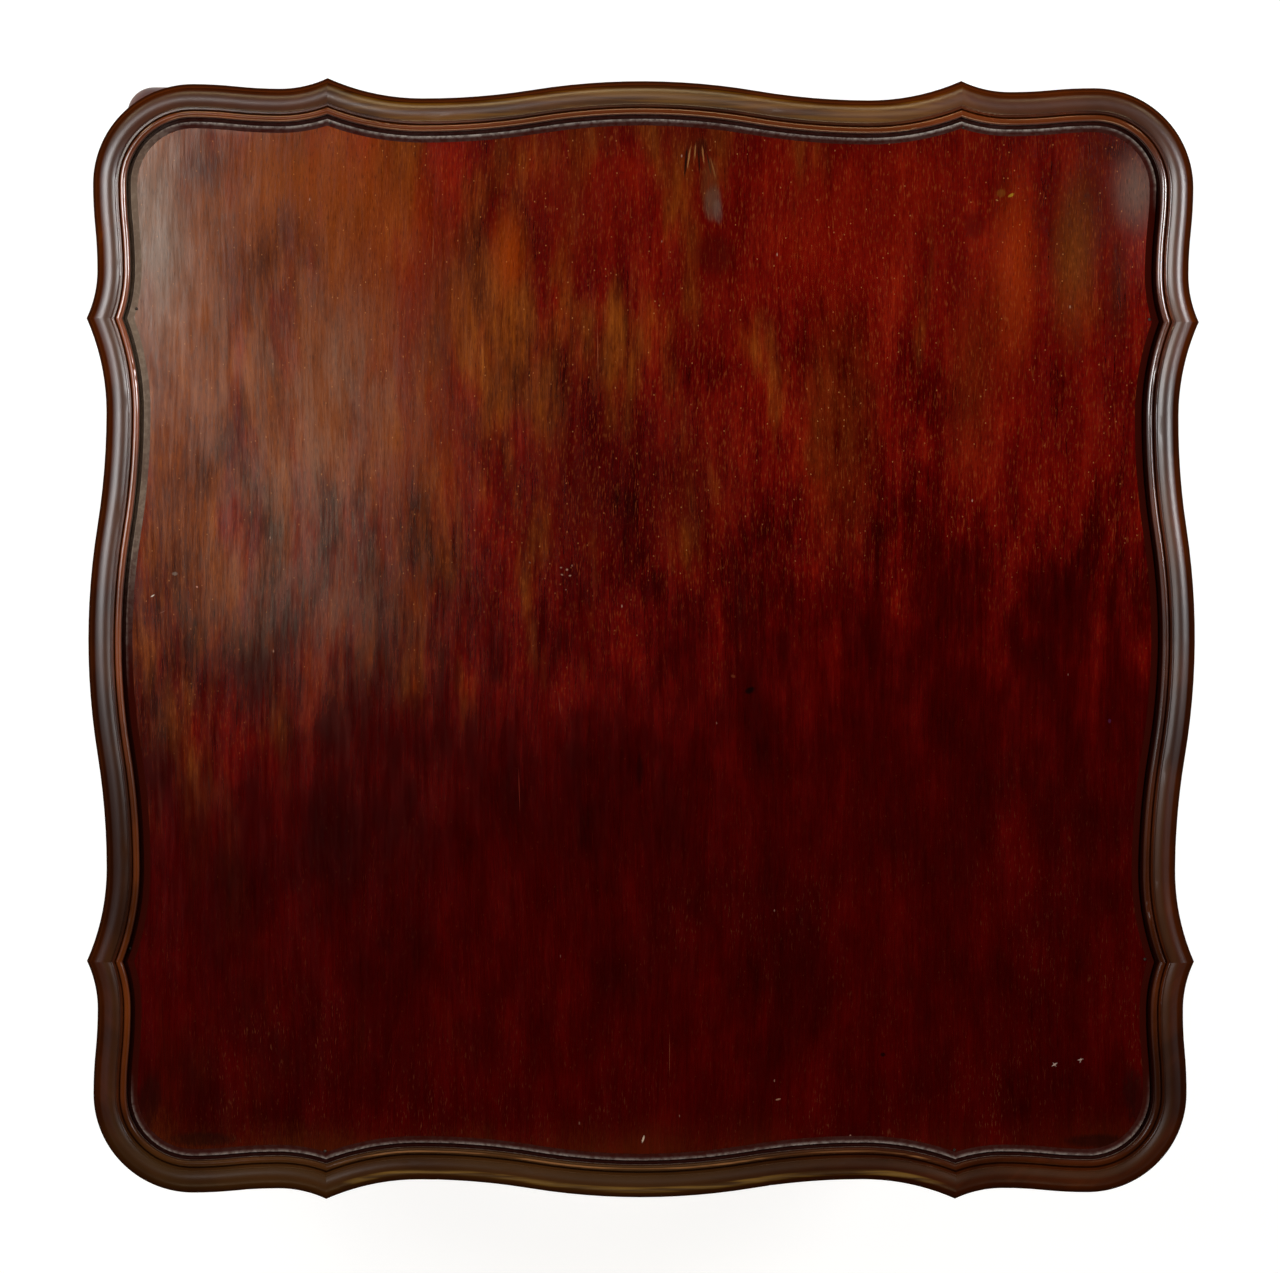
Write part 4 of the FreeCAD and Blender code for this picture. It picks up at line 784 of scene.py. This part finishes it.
def make_floor():
    """A white floor that keeps the table's shadow and shows white to the camera and in reflections."""
    wide, steps, drop = 60, 4, 0.0005
    bpy.ops.mesh.primitive_grid_add(size=wide, x_subdivisions=steps, y_subdivisions=steps,
                                    location=(0, 0, -drop))
    floor = bpy.context.object
    floor.name = "floor"
    material, g = new_material("floor")
    path = g.add("ShaderNodeLightPath", {}).outputs
    shown = g.math("MAXIMUM", path["Is Camera Ray"], path["Is Glossy Ray"])
    shown = g.math("MAXIMUM", shown, path["Is Transmission Ray"])
    lit = g.add("ShaderNodeBsdfDiffuse", {"Color": grey(0.75)}).outputs["BSDF"]
    faint = g.add("ShaderNodeBsdfDiffuse", {"Color": grey(0.35)}).outputs["BSDF"]
    glow = g.add("ShaderNodeEmission", {"Color": grey(1.0), "Strength": 0.85}).outputs["Emission"]
    white = g.add("ShaderNodeAddShader", {0: faint, 1: glow}).outputs["Shader"]
    mixed = g.add("ShaderNodeMixShader", {0: shown, 1: lit, 2: white}).outputs["Shader"]
    g.add("ShaderNodeOutputMaterial", {"Surface": mixed})
    floor.data.materials.append(material)


def make_world():
    """A pale room: bright near the horizon, dark overhead."""
    world = bpy.data.worlds.new("room")
    bpy.context.scene.world = world
    world.use_nodes = True
    g = Graph(world.node_tree)
    direction = g.add("ShaderNodeTexCoord", {}).outputs["Generated"]
    upward = g.split(direction)["Z"]
    levels = ((0.00, 0.45), (0.15, 0.36), (0.45, 0.12), (0.75, 0.02), (0.90, 0.0))
    colour = g.ramp(upward, [(place, grey(level)) for place, level in levels])
    sky = g.add("ShaderNodeBackground", {"Color": colour, "Strength": 1.0}).outputs["Background"]
    g.add("ShaderNodeOutputWorld", {"Surface": sky})


# Soft lights: name, place, what it faces, width, depth, turn in degrees, brightness of its face, colour
LIGHTS = (
    ("over_left", (-0.82, 0.46, 3.75), (-0.82, 0.46, 0.7), 0.66, 0.60, 8, 3.6, (1.0, 0.92, 0.82)),
    ("over_left_low", (-0.33, 0.06, 3.75), (-0.33, 0.06, 0.7), 0.20, 0.40, 6, 1.6, (1.0, 0.76, 0.55)),
    ("over_right", (0.79, 0.41, 3.75), (0.79, 0.41, 0.7), 0.14, 0.10, 0, 1.8, (1.0, 0.92, 0.85)),
    ("left_wall", (-2.3, 0.0, 1.9), (0, 0, 0.8), 2.4, 1.4, 0, 0.4, (0.98, 0.98, 1.0)),
    ("left_box", (-1.70, 0.50, 2.8), (-0.42, 0.3, 0.74), 0.85, 0.85, 0, 6.0, (0.98, 0.99, 1.0)),
    ("left_high", (-1.20, 0.42, 3.55), (-0.42, 0.3, 0.74), 0.55, 1.00, 0, 16.0, (0.98, 0.99, 1.0)),
    ("right_box", (1.70, 0.40, 2.6), (0.42, 0.3, 0.74), 0.36, 0.80, 0, 30.0, (0.98, 0.99, 1.0)),
    ("right_wall", (2.6, -0.2, 1.9), (0, 0, 0.8), 1.8, 0.8, 0, 1.0, (1.0, 0.97, 0.95)),
    ("back", (-0.15, 2.2, 2.2), (0, 0.3, 0.74), 1.3, 0.40, 0, 7.0, (1.0, 0.78, 0.42)),
    ("back_right", (1.6, 1.9, 2.2), (0, 0, 0.74), 0.3, 0.3, 0, 20.0, (1.0, 0.82, 0.50)),
    ("back_left", (-1.7, 1.9, 2.2), (0, 0, 0.74), 0.3, 0.3, 0, 20.0, (1.0, 0.82, 0.50)),
    ("front", (-0.15, -2.4, 1.9), (0, -0.3, 0.74), 1.3, 0.40, 0, 6.0, (1.0, 0.78, 0.42)),
)


def make_lights():
    for name, place, facing, wide, deep, turn, face, colour in LIGHTS:
        lamp = bpy.data.lights.new(name, "AREA")
        lamp.shape = "RECTANGLE"
        lamp.size, lamp.size_y = wide, deep
        lamp.energy = face * wide * deep * math.pi
        lamp.color = colour
        light = bpy.data.objects.new(name, lamp)
        light.location = place
        level = place[:2] == facing[:2]
        spin = math.radians(turn)
        upward = (math.sin(spin), math.cos(spin), 0) if level else (0, 0, 1)
        aim(light, facing, upward)
        light.visible_camera = False
        bpy.context.scene.collection.objects.link(light)


def build_scene():
    brass = aged_metal("brass", (206, 168, 92), (92, 64, 30), 0.26)
    iron = aged_metal("iron", (70, 62, 58), (24, 20, 18), 0.5)
    oak = {axis: bare_wood(f"oak_{axis}", axis, OAK_TONES, (92, 62, 36)) for axis in "XY"}
    dress_top()
    dress_frame(brass, oak)
    make_baize()
    make_cusp_pins(iron)
    make_camera()
    make_floor()
    make_world()
    make_lights()
    bpy.context.scene.view_settings.view_transform = "Standard"


build_scene()
